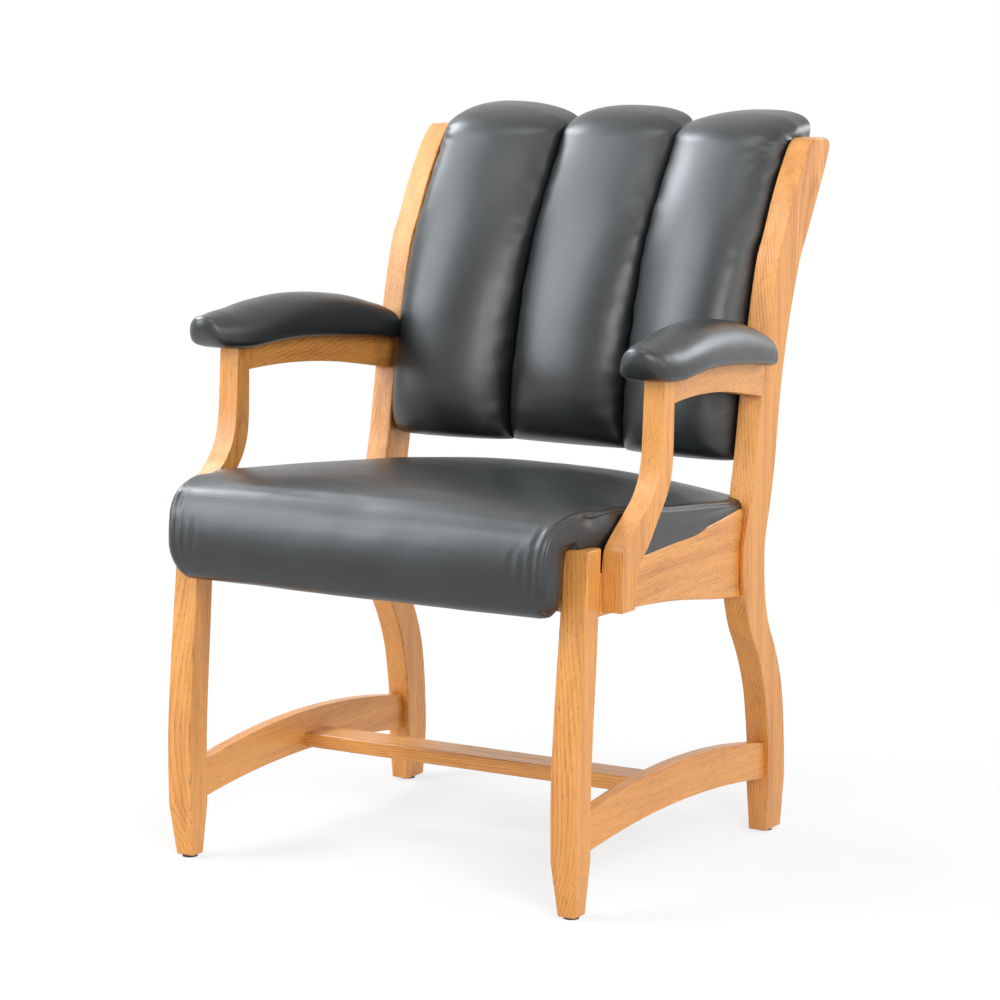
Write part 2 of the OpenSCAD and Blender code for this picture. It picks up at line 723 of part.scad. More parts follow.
module arm_dowels() {
    color(plywood) in_place() for (side = [-1, 1]) on_side(side) {
        at_arm_front_dowels() dowel();
        at_arm_back_dowels() dowel();
    }
}
module arm_post_screws() {
    color(steel) in_place() for (side = [-1, 1])
        on_side(side) at_arm_post_screws() screw(arm_screw_l);
}
module arm_pad_screws() {
    color(steel) in_place() for (side = [-1, 1])
        on_side(side) at_arm_pad_screws() screw(arm_pad_screw_l);
}

// The line under the pad: it follows the arm rail and curls up a little at the nose
pad_front = -arm_post_top_d / 2 - arm_pad_reach;
pad_back = arm_l - pad_back_gap;
function pad_floor(y) = y < 0
    ? arm_top(0) + pad_nose_lift * pow(y / pad_front, 2)
    : arm_top(y);
board_rows = [for (i = [0:arch_steps])
    let (y = mix(pad_front + board_nose_off, pad_back - board_back_off, i / arch_steps))
    [y, pad_floor(y), pad_floor(y) + arm_board_t]];
module arm_board(side) {
    color(plywood) in_place() on_side(side) difference() {
        arm_frame() side_slab(strip(board_rows), 0, arm_board_w);
        at_arm_pad_screws() screw(arm_pad_screw_l, fit_gap);
    }
}

// A loft through rings that have the same even number of points. Its ends are closed by
// strips between the two halves of a ring.
module loft(rings) {
    n = len(rings[0]);
    last = (len(rings) - 1) * n;
    points = [for (r = rings) for (p = r) p];
    walls = [for (j = [0:n:last - n]) for (i = [0:n - 1]) let (k = (i + 1) % n)
        each [[j + i, j + n + k, j + k], [j + i, j + n + i, j + n + k]]];
    ends = [for (i = [0:n / 2 - 2])
        each [[i, i + 1, n - 2 - i], [i, n - 2 - i, n - 1 - i],
            [last + i, last + n - 2 - i, last + i + 1],
            [last + i, last + n - 1 - i, last + n - 2 - i]]];
    polyhedron(points = points, faces = [for (f = concat(walls, ends)) if (f.y != f.z) f],
        convexity = 6);
}

// Arm pads: rows give the place, half width, height and the rounding of the nose and heel
arm_pad_shares = [
    [0.000, 0.20, 0.18, 0.34], [0.015, 0.46, 0.40, 0.20], [0.040, 0.66, 0.57, 0.08],
    [0.080, 0.80, 0.71, 0.02], [0.140, 0.91, 0.82, 0.00], [0.210, 0.97, 0.90, 0.00],
    [0.300, 1.00, 0.95, 0.00], [0.400, 1.00, 0.96, 0.00], [0.520, 0.99, 0.93, 0.00],
    [0.640, 0.98, 0.88, 0.00], [0.760, 0.96, 0.80, 0.00], [0.870, 0.94, 0.70, 0.00],
    [0.940, 0.90, 0.61, 0.00], [0.980, 0.82, 0.50, 0.02], [1.000, 0.66, 0.36, 0.06]
];
function pad_ring(y, half, h, lift) = [
    for (i = [0:pad_sides - 1])
        let (a = -90 - 360 * (i + 0.5) / pad_sides,
            c = cos(a), s = sin(a),
            x = half * sign(c) * pow(abs(c), pad_square),
            up = pow(abs(s), pad_square) * sign(s),
            z = s > 0 ? mix(pad_waist_share, 1, up) : pad_waist_share * (1 + up))
        [x, y, pad_floor(y) + arm_pad_h * lift + h * z]
];
module arm_pad_form() {
    loft([for (s = arm_pad_shares)
        pad_ring(mix(pad_front, pad_back, s.x), s.y * arm_pad_w / 2, s.z * arm_pad_h, s[3])]);
}
module arm_pad(side) {
    color(leather) in_place() on_side(side) difference() {
        arm_frame() arm_pad_form();
        arm_frame() side_slab(strip([for (r = board_rows)
            [r.x, r.y - overrun, r.z + soft_gap]], soft_gap), 0, arm_board_w + 2 * soft_gap);
        arm_frame() side_slab(strip([for (r = arm_rail_rows)
            [r.x, r.y, r.z + fit_gap]], arm_post_d), 0, arm_rail_w + 2 * soft_gap);
        side_slab(outline(back_post_line, soft_gap), back_post_x, back_post_w + 2 * soft_gap);
    }
}

// Seat cushion: rings from the lower edge up to the crown. The front rolls over and down,
// the sides rise to a seam and fall in from it, and corners are cut round legs and posts.
seat_crest_shares = [
    [0.00, -0.62], [0.03, -0.32], [0.06, -0.20], [0.12, -0.09], [0.20, -0.03],
    [0.30, 0.00], [0.45, -0.01], [0.65, -0.07], [0.85, -0.15], [0.94, -0.20], [1.00, -0.29]
];
front_ring_shares = [
    [0.42, 0.00], [0.22, 0.05], [0.08, 0.16], [0.00, 0.34], [0.00, 0.50],
    [0.08, 0.66], [0.20, 0.78], [0.42, 0.87], [0.75, 0.93]
];
side_ring_shares = [
    [0.12, 0.00], [0.08, 0.15], [0.05, 0.32], [0.02, 0.50], [0.00, 0.66],
    [0.00, 0.82], [0.05, 0.94], [0.16, 1.00], [0.40, 1.05]
];
// Where the crown starts, as shares of the rounding in front and at the sides, and its rings
crown_shares = [0.92, 0.62];
top_ring_shares = [0.84, 0.66, 0.46, 0.24];
function seat_share(y) = (y + seat_bulge) / (seat_back + seat_bulge);
function seat_crest(y) = seat_crown
    + seat_dome * lookup(seat_share(y), seat_crest_shares);
function seam_z(y) = mix(seat_seam_front, seat_seam_back, seat_share(y));
// How much a place belongs to the front roll: 1 in front, and 0 from its end back
function frontness(y) =
    let (t = min(max(1 - (y + seat_bulge) / seat_roll_run, 0), 1)) t * t * (3 - 2 * t);
function seat_top(x, y) =
    seat_crest(y) - (seat_crest(y) - seam_z(y)) * pow(abs(2 * x / seat_w), crown_power)
    * (1 - frontness(y));

// The rim seen from above, as rows [x, y, and the direction that faces outwards]
function rim_corner(c, r, from) = [
    for (i = [0:corner_steps]) let (a = from + 90 * i / corner_steps)
        [c.x + r * cos(a), c.y + r * sin(a), cos(a), sin(a)]
];
function rim_side(p, q) = [for (i = [1:side_steps - 1]) mix(p, q, i / side_steps)];
seat_rim = let (w = seat_w / 2, r = seat_corner_r, q = seat_rear_r,
        a = rim_corner([w - r, r - seat_bulge], r, -90),
        b = rim_corner([w - q, seat_back - q], q, 0),
        c = rim_corner([q - w, seat_back - q], q, 90),
        d = rim_corner([r - w, r - seat_bulge], r, 180))
    concat(a, rim_side(a[corner_steps], b[0]), b, rim_side(b[corner_steps], c[0]),
        c, rim_side(c[corner_steps], d[0]), d, rim_side(d[corner_steps], a[0]));
function seat_narrow(y) = 1 - seat_share(y) * side_rail_toe / (seat_w / 2);
// A place of the rim, drawn in by its share of the rounding, with the front edge bowed
function rim_inset(p, front, side) =
    let (t = frontness(p.y),
        d = mix(side * seat_side_round, front * seat_front_round, t),
        q = [p.x - d * p[2], p.y - d * p[3]])
    [q.x, q.y + seat_bow * t * pow(2 * q.x / seat_w, 2)];
module seat_form() {
    walls = [for (k = [0:len(front_ring_shares) - 1])
        let (f = front_ring_shares[k], s = side_ring_shares[k])
        [for (p = seat_rim) let (c = rim_inset(p, f.x, s.x))
            [c.x * seat_narrow(c.y), c.y, mix(mix(seat_roll_low, seam_z(c.y), s.y),
                mix(seat_roll_low, seat_crown, f.y), frontness(p.y))]]];
    middle = [0, (seat_back - seat_bulge) / 2];
    top = [for (s = top_ring_shares)
        [for (p = seat_rim) let (c = mix(middle, rim_inset(p, crown_shares[0], crown_shares[1]), s))
            [c.x * seat_narrow(c.y), c.y, seat_top(c.x, c.y)]]];
    loft(concat(walls, top));
}
module seat_cushion() {
    front = leg_in_x - soft_gap;
    color(leather) in_place() difference() {
        seat_form();
        for (side = [-1, 1]) on_side(side) {
            block([front, -wide, 0],
                [wide, rail_start + soft_gap, front_leg_h + soft_gap]);
            rail_frame() side_slab(strip([for (r = rail_rows)
                [r.x, r.y - side_rail_front_low, r.z + soft_gap]], seat_bulge),
                0, 2 * side_rail_t + 2 * soft_gap);
            side_slab(outline(back_post_line, soft_gap), back_post_x,
                back_post_w + 2 * soft_gap);
        }
        block([-wide, front_rail_y - soft_gap, 0],
            [wide, seat_back + overrun, seat_board_top + soft_gap]);
    }
}

// Back
back_top_rail_z = back_frame_top - back_rail_h / 2;
back_low_rail_z = back_low + back_low_bare + back_rail_h / 2;
// Points of a layer of the back that follows the posts, between two depths and two heights
function back_layer(near, far, low, high) =
    let (zs = concat([low], [for (z = back_stations) if (z > low && z < high) z], [high]))
    concat([for (z = zs) [back_y(z) + near, z]],
        [for (z = backwards(zs)) [back_y(z) + far, z]]);
module at_back_screws() {
    for (s = back_screw_shares)
        let (z = mix(back_low, back_frame_top, s))
        translate([post_in_x - back_cleat_w / 2,
            back_y(z) + back_board_set + screw_head_h, z])
            rotate([-90 - back_lean(z), 0, 0]) children();
}
module back_rail_tenon(z, slack) {
    half = back_tenon_h / 2 + slack;
    near = frame_near + back_tenon_in - slack;
    far = frame_far - back_tenon_in + slack;
    translate([post_in_x - tenon_root, 0, 0])
        side_slab(back_layer(near, far, z - half, z + half),
            (tenon_root + back_tenon_l + slack) / 2, tenon_root + back_tenon_l + slack);
}
module back_rail(z) {
    side_slab(back_layer(frame_near, frame_far, z - back_rail_h / 2, z + back_rail_h / 2),
        0, 2 * post_in_x);
    for (side = [-1, 1])
        on_side(side) back_rail_tenon(z, 0);
}
module back_top_rail() {
    color(oak_inside) in_place() back_rail(back_top_rail_z);
}
module back_low_rail() {
    color(oak_inside) in_place() back_rail(back_low_rail_z);
}
module back_cleat(side) {
    low = back_low_rail_z + back_rail_h / 2;
    high = back_top_rail_z - back_rail_h / 2;
    color(oak_inside) in_place() on_side(side) difference() {
        side_slab(back_layer(frame_near, frame_far, low, high),
            post_in_x - back_cleat_w / 2, back_cleat_w);
        at_back_screws() screw(back_screw_l, fit_gap);
    }
}
module back_board() {
    color(plywood) in_place() difference() {
        side_slab(back_layer(back_board_set, frame_near, back_low + back_low_bare,
            back_frame_top), 0, 2 * back_x);
        for (side = [-1, 1])
            on_side(side) at_back_screws() screw(back_screw_l, fit_gap, screw_head_h);
    }
}
module back_cover() {
    color(leather_dark) in_place()
        side_slab(back_layer(frame_far, frame_far + back_cover_t, back_low + back_low_bare,
            back_frame_top), 0, 2 * back_x);
}
module back_screws() {
    color(steel) in_place() for (side = [-1, 1])
        on_side(side) at_back_screws() screw(back_screw_l);
}

// Back cushion: three upright rolls with sewn seams between them, which roll over the top
function roll_arc(w) = pow(max(1 - pow(abs(w), roll_power), 0), 1 / roll_power);
function lane_x(l) = (l.x + l.y / 2) * 2 * back_x / 3;
function lane_proud(l) = l.x == 0 ? middle_roll_proud : outer_roll_proud;
function lane_fill(l, z) =
    let (f = lookup((z - back_low) / (back_frame_top - back_low), back_fill_shares))
    l.x == 0 ? f * f : f;
function lane_front(l, z) =
    seam_set - (seam_set + lane_proud(l)) * roll_arc(l.y) * lane_fill(l, z);
// A ring of the cushion, with its rear edge at a depth behind the front of the posts. A turn
// carries it round the top edge of the frame.
function back_ring(z, rear, turn = 0) =
    let (y = back_y(z), low = seam_rise * sin(turn) / 2)
    concat(
        [for (l = lanes)
            let (rise = mix(seam_rise, back_top_roll, roll_arc(l.y)) * sin(turn))
            [lane_x(l), y + mix(rear, lane_front(l, z), cos(turn)) + rise * back_slope,
                z + rise]],
        [for (l = backwards(lanes)) [lane_x(l), y + rear + low * back_slope, z + low]]
    );
module back_cushion() {
    near = back_board_set - soft_gap;
    low = back_low + back_low_bare - soft_gap;
    top = back_frame_top + soft_gap;
    color(leather) in_place() loft(concat(
        [back_ring(back_low, back_depth), back_ring(low, back_depth)],
        [back_ring(low + soft_gap, near)],
        [for (z = back_stations) if (z > low + soft_gap) back_ring(z, near)],
        [back_ring(top, back_depth)],
        [for (turn = back_turns) back_ring(top, back_depth, turn)]
    ));
}

// Glides under the feet
module at_front_glide() {
    translate([front_leg_x, front_foot_share.x * front_leg_rake
        + front_foot_share.y * front_leg_d / 2, 0]) children();
}
module at_back_glide() {
    translate([back_post_x, back_post_waist + back_foot_share.x * back_post_kick
        + back_foot_share.y * back_post_d / 2, 0]) children();
}
module foot_glides() {
    color(nylon) in_place() for (side = [-1, 1]) on_side(side) {
        at_front_glide() glide();
        at_back_glide() glide();
    }
}

front_leg(-1);  // front_leg_left
front_leg(1);  // front_leg_right
back_post(-1);  // back_post_left
back_post(1);  // back_post_right
side_rail(-1);  // side_rail_left
side_rail(1);  // side_rail_right
front_rail();
rear_rail();
corner_block(-1, true);  // corner_block_front_left
corner_block(1, true);  // corner_block_front_right
corner_block(-1, false);  // corner_block_rear_left
corner_block(1, false);  // corner_block_rear_right
side_stretcher(-1);  // side_stretcher_left
side_stretcher(1);  // side_stretcher_right
cross_stretcher();
arm_post(-1);  // arm_post_left
arm_post(1);  // arm_post_right
arm_rail(-1);  // arm_rail_left
arm_rail(1);  // arm_rail_right
arm_board(-1);  // arm_board_left
arm_board(1);  // arm_board_right
arm_pad(-1);  // arm_pad_left
arm_pad(1);  // arm_pad_right
seat_board();
seat_cushion();
seat_dust_cover();
back_cleat(-1);  // back_cleat_left
back_cleat(1);  // back_cleat_right
back_top_rail();
back_low_rail();
back_board();
back_cushion();
back_cover();
corner_screws();
seat_screws();
arm_post_screws();
arm_pad_screws();
back_screws();
arm_dowels();
foot_glides();
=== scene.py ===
"""Dresses the frame of an upholstered oak armchair: boards, leather pads and the stage."""

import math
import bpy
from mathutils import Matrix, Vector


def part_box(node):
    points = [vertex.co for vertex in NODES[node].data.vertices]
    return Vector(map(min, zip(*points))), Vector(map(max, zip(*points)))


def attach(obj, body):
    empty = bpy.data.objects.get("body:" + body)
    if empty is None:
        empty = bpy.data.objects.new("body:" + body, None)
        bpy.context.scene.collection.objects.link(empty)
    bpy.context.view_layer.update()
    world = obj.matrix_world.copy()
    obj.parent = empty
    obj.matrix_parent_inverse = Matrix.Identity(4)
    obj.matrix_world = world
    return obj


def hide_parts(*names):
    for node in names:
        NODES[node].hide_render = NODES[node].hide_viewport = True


bl_info = {
    "name": "Guest Armchair",
    "version": (1, 0, 0),
    "blender": (4, 5, 0),
    "location": "View3D > Sidebar > Armchair",
    "description": "Grained oak boards, padded leather rolls and a plain stage on the packed frame",
    "category": "Add Mesh",
}

from contextlib import contextmanager

import bpy
import numpy as np
from mathutils import Matrix, Vector, noise
from mathutils.bvhtree import BVHTree

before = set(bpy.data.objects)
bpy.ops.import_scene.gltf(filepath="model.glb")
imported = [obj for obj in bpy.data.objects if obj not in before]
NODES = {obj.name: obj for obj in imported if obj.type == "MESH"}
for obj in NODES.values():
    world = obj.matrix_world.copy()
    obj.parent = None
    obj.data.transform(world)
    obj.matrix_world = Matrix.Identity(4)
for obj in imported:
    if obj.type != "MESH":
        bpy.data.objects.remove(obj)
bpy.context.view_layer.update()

SIDES = {"left": -1, "right": 1}
MM = 0.001

# The boards: their node, the axis of their grain, and where the heart of their tree lay, from the
# board's middle and across its grain
UPRIGHT, DEEP, ACROSS = "z", "y", "x"
BOARDS = {
    "front_leg": (UPRIGHT, (0.055, 0.090)),
    "back_post": (UPRIGHT, (0.120, 0.060)),
    "arm_post": (UPRIGHT, (0.090, 0.035)),
    "side_rail": (DEEP, (0.080, 0.110)),
    "side_stretcher": (DEEP, (0.060, 0.140)),
    "arm_rail": (DEEP, (0.070, 0.060)),
}
CROSS_BOARDS = {
    "rear_rail": (ACROSS, (0.090, 0.060)),
    "cross_stretcher": (ACROSS, (0.030, 0.100)),
}


# Properties that a user would change


def colour_setting(name, description, default):
    return bpy.props.FloatVectorProperty(
        name=name, description=description, subtype="COLOR", size=3, min=0, max=1,
        default=default)


def length_setting(name, description, low, high, default):
    return bpy.props.FloatProperty(
        name=name, description=description, subtype="DISTANCE", min=low, max=high,
        default=default)


class OakProperties(bpy.types.PropertyGroup):
    light: colour_setting(
        "Light wood", "Colour of the wood between the growth rings", (0.76, 0.33, 0.075))
    dark: colour_setting(
        "Dark wood", "Colour of the rings and of the darker streaks", (0.47, 0.152, 0.028))
    pore: colour_setting("Pores", "Colour of the open pores", (0.17, 0.06, 0.017))
    ring: length_setting("Ring width", "Width of one year's growth", 0.001, 0.01, 0.0030)
    edge: length_setting(
        "Eased edge", "Width of the rounding along the edges of the boards", 0.0005, 0.005, 0.0026)


class LeatherProperties(bpy.types.PropertyGroup):
    colour: colour_setting("Leather", "Colour of the leather", (0.010, 0.012, 0.0125))
    worn: colour_setting(
        "Mottling", "Paler colour that the leather is clouded with", (0.016, 0.019, 0.020))
    grain: length_setting(
        "Pebble size", "Width of one pebble of the leather's grain", 0.0005, 0.004, 0.0015)
    roughness: bpy.props.FloatProperty(
        name="Roughness", description="How dull the leather is",
        subtype="FACTOR", min=0, max=1, default=0.32)


class SeatProperties(bpy.types.PropertyGroup):
    bulge: length_setting(
        "Front bulge", "How far the roll bulges in front of the feet", 0.02, 0.05, 0.038)
    crease: length_setting(
        "Creases", "Depth of the creases beside the corner seams", 0, 0.004, 0.0016)


class BackProperties(bpy.types.PropertyGroup):
    outer: length_setting(
        "Outer rolls", "How far the outer rolls stand in front of the posts", 0.03, 0.06, 0.048)
    middle: length_setting(
        "Middle roll", "How far the middle roll stands in front of the posts", 0.0, 0.05, 0.024)
    seam: length_setting(
        "Seam depth", "How far the seams lie behind the front of the posts", 0.01, 0.033, 0.030)
    pucker: length_setting(
        "Puckers", "Height of the small folds along the seams", 0, 0.003, 0.0010)


class StageProperties(bpy.types.PropertyGroup):
    azimuth: bpy.props.FloatProperty(
        name="Azimuth", description="Direction of the camera, from the front towards the right",
        subtype="ANGLE", default=math.radians(31.52))
    elevation: bpy.props.FloatProperty(
        name="Elevation", description="Height of the camera above the horizon",
        subtype="ANGLE", default=math.radians(9.28))
    distance: bpy.props.FloatProperty(
        name="Distance", description="Distance of the camera from its aim",
        subtype="DISTANCE", default=4.5714)
    lens: bpy.props.FloatProperty(
        name="Lens", description="Focal length in millimetres", default=136.603)


# Shader maths


class Wire:
    """A socket of a recipe's nodes, which takes part in sums."""

    def __init__(self, recipe, socket):
        self.recipe = recipe
        self.socket = socket

    def math(self, operation, *others):
        return self.recipe.node("ShaderNodeMath", {"operation": operation}, self, *others)

    def __add__(self, other):
        return self.math("ADD", other)

    def __mul__(self, other):
        return self.math("MULTIPLY", other)

    def __sub__(self, other):
        return self.math("SUBTRACT", other)

    def __rsub__(self, other):
        return (self * -1) + other

    def __truediv__(self, other):
        return self.math("DIVIDE", other)

    __radd__ = __add__
    __rmul__ = __mul__

    def between(self, low, high):
        """0 below low, 1 above high, and smooth in between."""
        return self.recipe.node(
            "ShaderNodeMapRange", {"interpolation_type": "SMOOTHSTEP"}, self, low, high, 0.0, 1.0)


class Recipe:
    """A material or a world under construction."""

    def __init__(self, made):
        self.made = made
        made.use_nodes = True
        self.tree = made.node_tree
        self.tree.nodes.clear()

    def node(self, kind, settings=None, *values, out=0, **named):
        """Adds a node, sets it up, feeds its sockets in order or by name, and gives an output.

        A closing node has no output, and gives nothing.
        """
        made = self.tree.nodes.new(kind)
        for key, value in (settings or {}).items():
            setattr(made, key, value)
        feeds = [(made.inputs[i], value) for i, value in enumerate(values)]
        feeds += [(made.inputs[key.replace("_", " ")], value) for key, value in named.items()]
        for socket, value in feeds:
            if isinstance(value, Wire):
                self.tree.links.new(value.socket, socket)
            elif value is not None:
                socket.default_value = value
        return Wire(self, made.outputs[out]) if made.outputs else None

    def place(self):
        """Where a point lies on the object."""
        return self.node("ShaderNodeTexCoord", None, out="Object")

    def parts(self, vector):
        """The three parts of a vector."""
        outputs = self.node("ShaderNodeSeparateXYZ", None, vector).socket.node.outputs
        return [Wire(self, output) for output in outputs]

    def board_parts(self, vector, grain):
        """The parts of a vector: two across the grain of a board, and then one along it."""
        x, y, z = self.parts(vector)
        return {UPRIGHT: (x, y, z), DEEP: (x, z, y), ACROSS: (y, z, x)}[grain]

    def joined(self, x, y, z):
        return self.node("ShaderNodeCombineXYZ", None, x, y, z)

    def clouds(self, vector, scale=1.0, detail=2.0, roughness=0.5):
        return self.node("ShaderNodeTexNoise", None, Vector=vector, Scale=scale,
                         Detail=detail, Roughness=roughness)

    def fibres(self, axes, across, along, detail=2.0, roughness=0.5):
        """Clouds drawn out along the grain, by their scales across it and along it."""
        u, v, w = axes
        drawn = self.joined(u * across, v * across, w * along)
        return self.clouds(drawn, 1.0, detail, roughness)

    def blend(self, factor, one, other):
        """Mixes two colours, which the mixing node has in its seventh and eighth sockets."""
        one, other = (tone if isinstance(tone, Wire) else (*tone, 1.0) for tone in (one, other))
        return self.node("ShaderNodeMix", {"data_type": "RGBA"}, factor, *[None] * 5, one, other,
                         out=2)

    def bump(self, height, distance, strength=1.0):
        return self.node("ShaderNodeBump", None, Strength=strength, Distance=distance,
                         Height=height)

    def seen(self):
        """1 for rays from the camera and those that gloss or glass sends on, and 0 for others."""
        rays = self.node("ShaderNodeLightPath").socket.node.outputs
        seen = Wire(self, rays["Is Camera Ray"])
        for ray in ("Is Glossy Ray", "Is Transmission Ray"):
            seen = seen.math("MAXIMUM", Wire(self, rays[ray]))
        return seen

    def finish(self, **sockets):
        """Closes a material's recipe with a Principled shader and gives the material."""
        shader = self.node("ShaderNodeBsdfPrincipled", None, **sockets)
        self.node("ShaderNodeOutputMaterial", None, shader)
        return self.made


def material_recipe(name):
    return Recipe(bpy.data.materials.new(name))


def oak(grain):
    """Lacquered oak whose grain runs along one axis."""
    look = bpy.context.scene.armchair_oak
    recipe = material_recipe(f"oak_{grain}")
    heart = recipe.node("ShaderNodeAttribute", {"attribute_name": "heart"}, out="Vector")
    axes = recipe.board_parts(recipe.node(
        "ShaderNodeVectorMath", {"operation": "SUBTRACT"}, recipe.place(), heart), grain)
    u, v, w = axes
    sway = recipe.fibres(axes, 7.0, 1.6, 3.0)
    reach = (u * u + v * v).math("SQRT") + w * 0.035 + (sway - 0.5) * 0.030
    phase = (reach / look.ring).math("FRACT")
    early = 1.0 - phase.between(0.0, 0.55)
    late = phase.between(0.72, 1.0)
    fibre = recipe.fibres(axes, 420.0, 9.0, 3.0, 0.65)
    streak = recipe.fibres(axes, 70.0, 3.0, 3.0)
    patch = recipe.fibres(axes, 9.0, 3.5)
    fleck = recipe.fibres(axes, 240.0, 45.0, 1.0)
    pores = recipe.fibres(axes, 1250.0, 38.0)
    pores = pores.between(0.56, 0.66) * (early * 0.85 + 0.15)
    shade = (early * 0.26 + late * 0.12 + (fibre - 0.5) * 0.75 + (streak - 0.5) * 1.1
             + (patch - 0.5) * 0.9 + 0.22)
    wood = recipe.blend(shade.between(0.0, 1.0), tuple(look.light), tuple(look.dark))
    wood = recipe.blend(fleck.between(0.62, 0.74) * 0.35, wood,
                        tuple(1.12 * c for c in look.light))
    wood = recipe.blend(pores * 0.75, wood, tuple(look.pore))
    height = fibre * 0.25 - pores - early * 0.2
    return recipe.finish(
        Base_Color=wood, Roughness=fibre * 0.16 + pores * 0.2 + 0.28,
        Normal=recipe.bump(height, 0.00025, 0.55), IOR=1.5,
        Coat_Weight=0.10, Coat_Roughness=0.20)


LEATHER = "grained_leather"


def leather():
    """Semi-gloss grained leather."""
    look = bpy.context.scene.armchair_leather
    recipe = material_recipe(LEATHER)
    place = recipe.place()
    drift = recipe.clouds(place, 55.0, 3.0)
    pebble = recipe.node("ShaderNodeTexVoronoi", {"feature": "DISTANCE_TO_EDGE"},
                         Vector=place, Scale=1.0 / look.grain, Randomness=0.95)
    fine = recipe.clouds(place, 2200.0, 2.0)
    crease = recipe.clouds(place, 26.0, 5.0, 0.62)
    cloud = recipe.clouds(place, 11.0, 4.0)
    pits = pebble.between(0.0, 0.16)
    tone = recipe.blend(cloud.between(0.35, 0.72), tuple(look.colour), tuple(look.worn))
    # Painted shade: the crevices between the pebbles are darkened to 0.45 of the leather's colour
    tone = recipe.blend((1.0 - pits) * 0.45, tone, tuple(0.45 * c for c in look.colour))
    height = pits * 0.7 + fine * 0.15 + drift * 0.5 + crease * 1.6
    dull = drift * 0.08 + cloud * 0.08 - pits * 0.04 + look.roughness - 0.06
    return recipe.finish(
        Base_Color=tone, Roughness=dull,
        Normal=recipe.bump(height, 0.0003, 0.25), IOR=1.5, Specular_IOR_Level=0.66)


def raw_wood(name, tone, dark, grain):
    """Unfinished wood or plywood of the hidden pieces."""
    recipe = material_recipe(name)
    axes = recipe.board_parts(recipe.place(), grain)
    u, v, w = axes
    fibre = recipe.fibres(axes, 300.0, 12.0, 4.0)
    wave = recipe.clouds(recipe.joined(u * 14.0, v * 40.0, w * 3.0), detail=3.0)
    shade = (fibre - 0.5) * 0.9 + (wave - 0.5) * 1.4 + 0.5
    return recipe.finish(
        Base_Color=recipe.blend(shade.between(0.1, 0.9), tone, dark),
        Roughness=fibre * 0.2 + 0.55, Normal=recipe.bump(fibre, 0.0003, 0.5))


# Spacing of the threads in the cloth under the seat
THREAD = 0.0011


def woven_cloth():
    """The thin black cloth under the seat."""
    recipe = material_recipe("dust_cloth")
    x, y, _ = recipe.parts(recipe.place())
    threads = 2 * math.pi / THREAD
    weave = (x * threads).math("SINE") * (y * threads).math("SINE")
    fuzz = recipe.clouds(recipe.joined(x, y, 0.0), 500.0, 3.0)
    tone = recipe.blend(fuzz.between(0.3, 0.7), (0.012, 0.012, 0.013), (0.035, 0.035, 0.037))
    return recipe.finish(Base_Color=tone, Roughness=fuzz * 0.1 + 0.85,
                         Normal=recipe.bump(weave, 0.0003, 0.6))


def smeared(name, scale, detail, span, tones, rough, bump, metallic=0.0):
    """A finish of two tones in small clouds, whose roughness and height follow the clouds."""
    recipe = material_recipe(name)
    smear = recipe.clouds(recipe.place(), scale, detail)
    return recipe.finish(
        Base_Color=recipe.blend(smear.between(*span), *tones), Metallic=metallic,
        Roughness=smear * rough[0] + rough[1], Normal=recipe.bump(smear, *bump))


def plated_steel():
    return smeared("screw_steel", 900.0, 3.0, (0.3, 0.7), ((0.42, 0.41, 0.38), (0.58, 0.57, 0.54)),
                   (0.2, 0.25), (0.0001, 0.3), metallic=1.0)


def nylon():
    return smeared("glide_nylon", 700.0, 4.0, (0.45, 0.75),
                   ((0.030, 0.026, 0.022), (0.075, 0.068, 0.06)), (0.25, 0.4), (0.0002, 0.4))


# Meshes

# Points of a mesh that are closer than this are one
WELD = 0.02 * MM
# How far across a mortise its other wall is looked for
MORTISE_REACH = 60 * MM
# Edges whose faces meet at less than this, by the product of their normals, are rounded
FOLD = 0.8


def pick(piece):
    """Makes a piece the only one that is selected, and the active one."""
    bpy.ops.object.select_all(action="DESELECT")
    piece.select_set(True)
    bpy.context.view_layer.objects.active = piece


@contextmanager
def edited(piece):
    """Edit mode on one piece, with all of its mesh selected."""
    pick(piece)
    bpy.ops.object.mode_set(mode="EDIT")
    bpy.ops.mesh.select_all(action="SELECT")
    yield
    bpy.ops.object.mode_set(mode="OBJECT")


def in_scene(name, data):
    """An object in the scene that holds a mesh, a lamp or a camera."""
    made = bpy.data.objects.new(name, data)
    bpy.context.scene.collection.objects.link(made)
    return made


def dress(mesh, material):
    mesh.materials.clear()
    mesh.materials.append(material)


def add_piece(name, mesh, material, node):
    """Puts a finished mesh into the scene, in place of the CAD node that it stands for."""
    piece = in_scene(name, mesh)
    dress(mesh, material)
    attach(piece, "root")
    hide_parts(node)
    return piece


def apply_modifier(piece, kind, **settings):
    pick(piece)
    modifier = piece.modifiers.new(kind.title(), kind)
    for key, value in settings.items():
        setattr(modifier, key, value)
    bpy.ops.object.modifier_apply(modifier=modifier.name)


def taken_out(piece):
    """The mesh of an object, which leaves the scene."""
    mesh = piece.data
    bpy.data.objects.remove(piece)
    return mesh


def tree_of(mesh):
    return BVHTree.FromPolygons([v.co for v in mesh.vertices],
                                [tuple(p.vertices) for p in mesh.polygons])


def is_outer(tree, middle, wall, face):
    """Whether an edge of a face is an edge of the board, and not the mouth of a mortise."""
    start = middle - face * MM + wall * 0.1 * MM
    return tree.ray_cast(start, wall, MORTISE_REACH)[0] is None


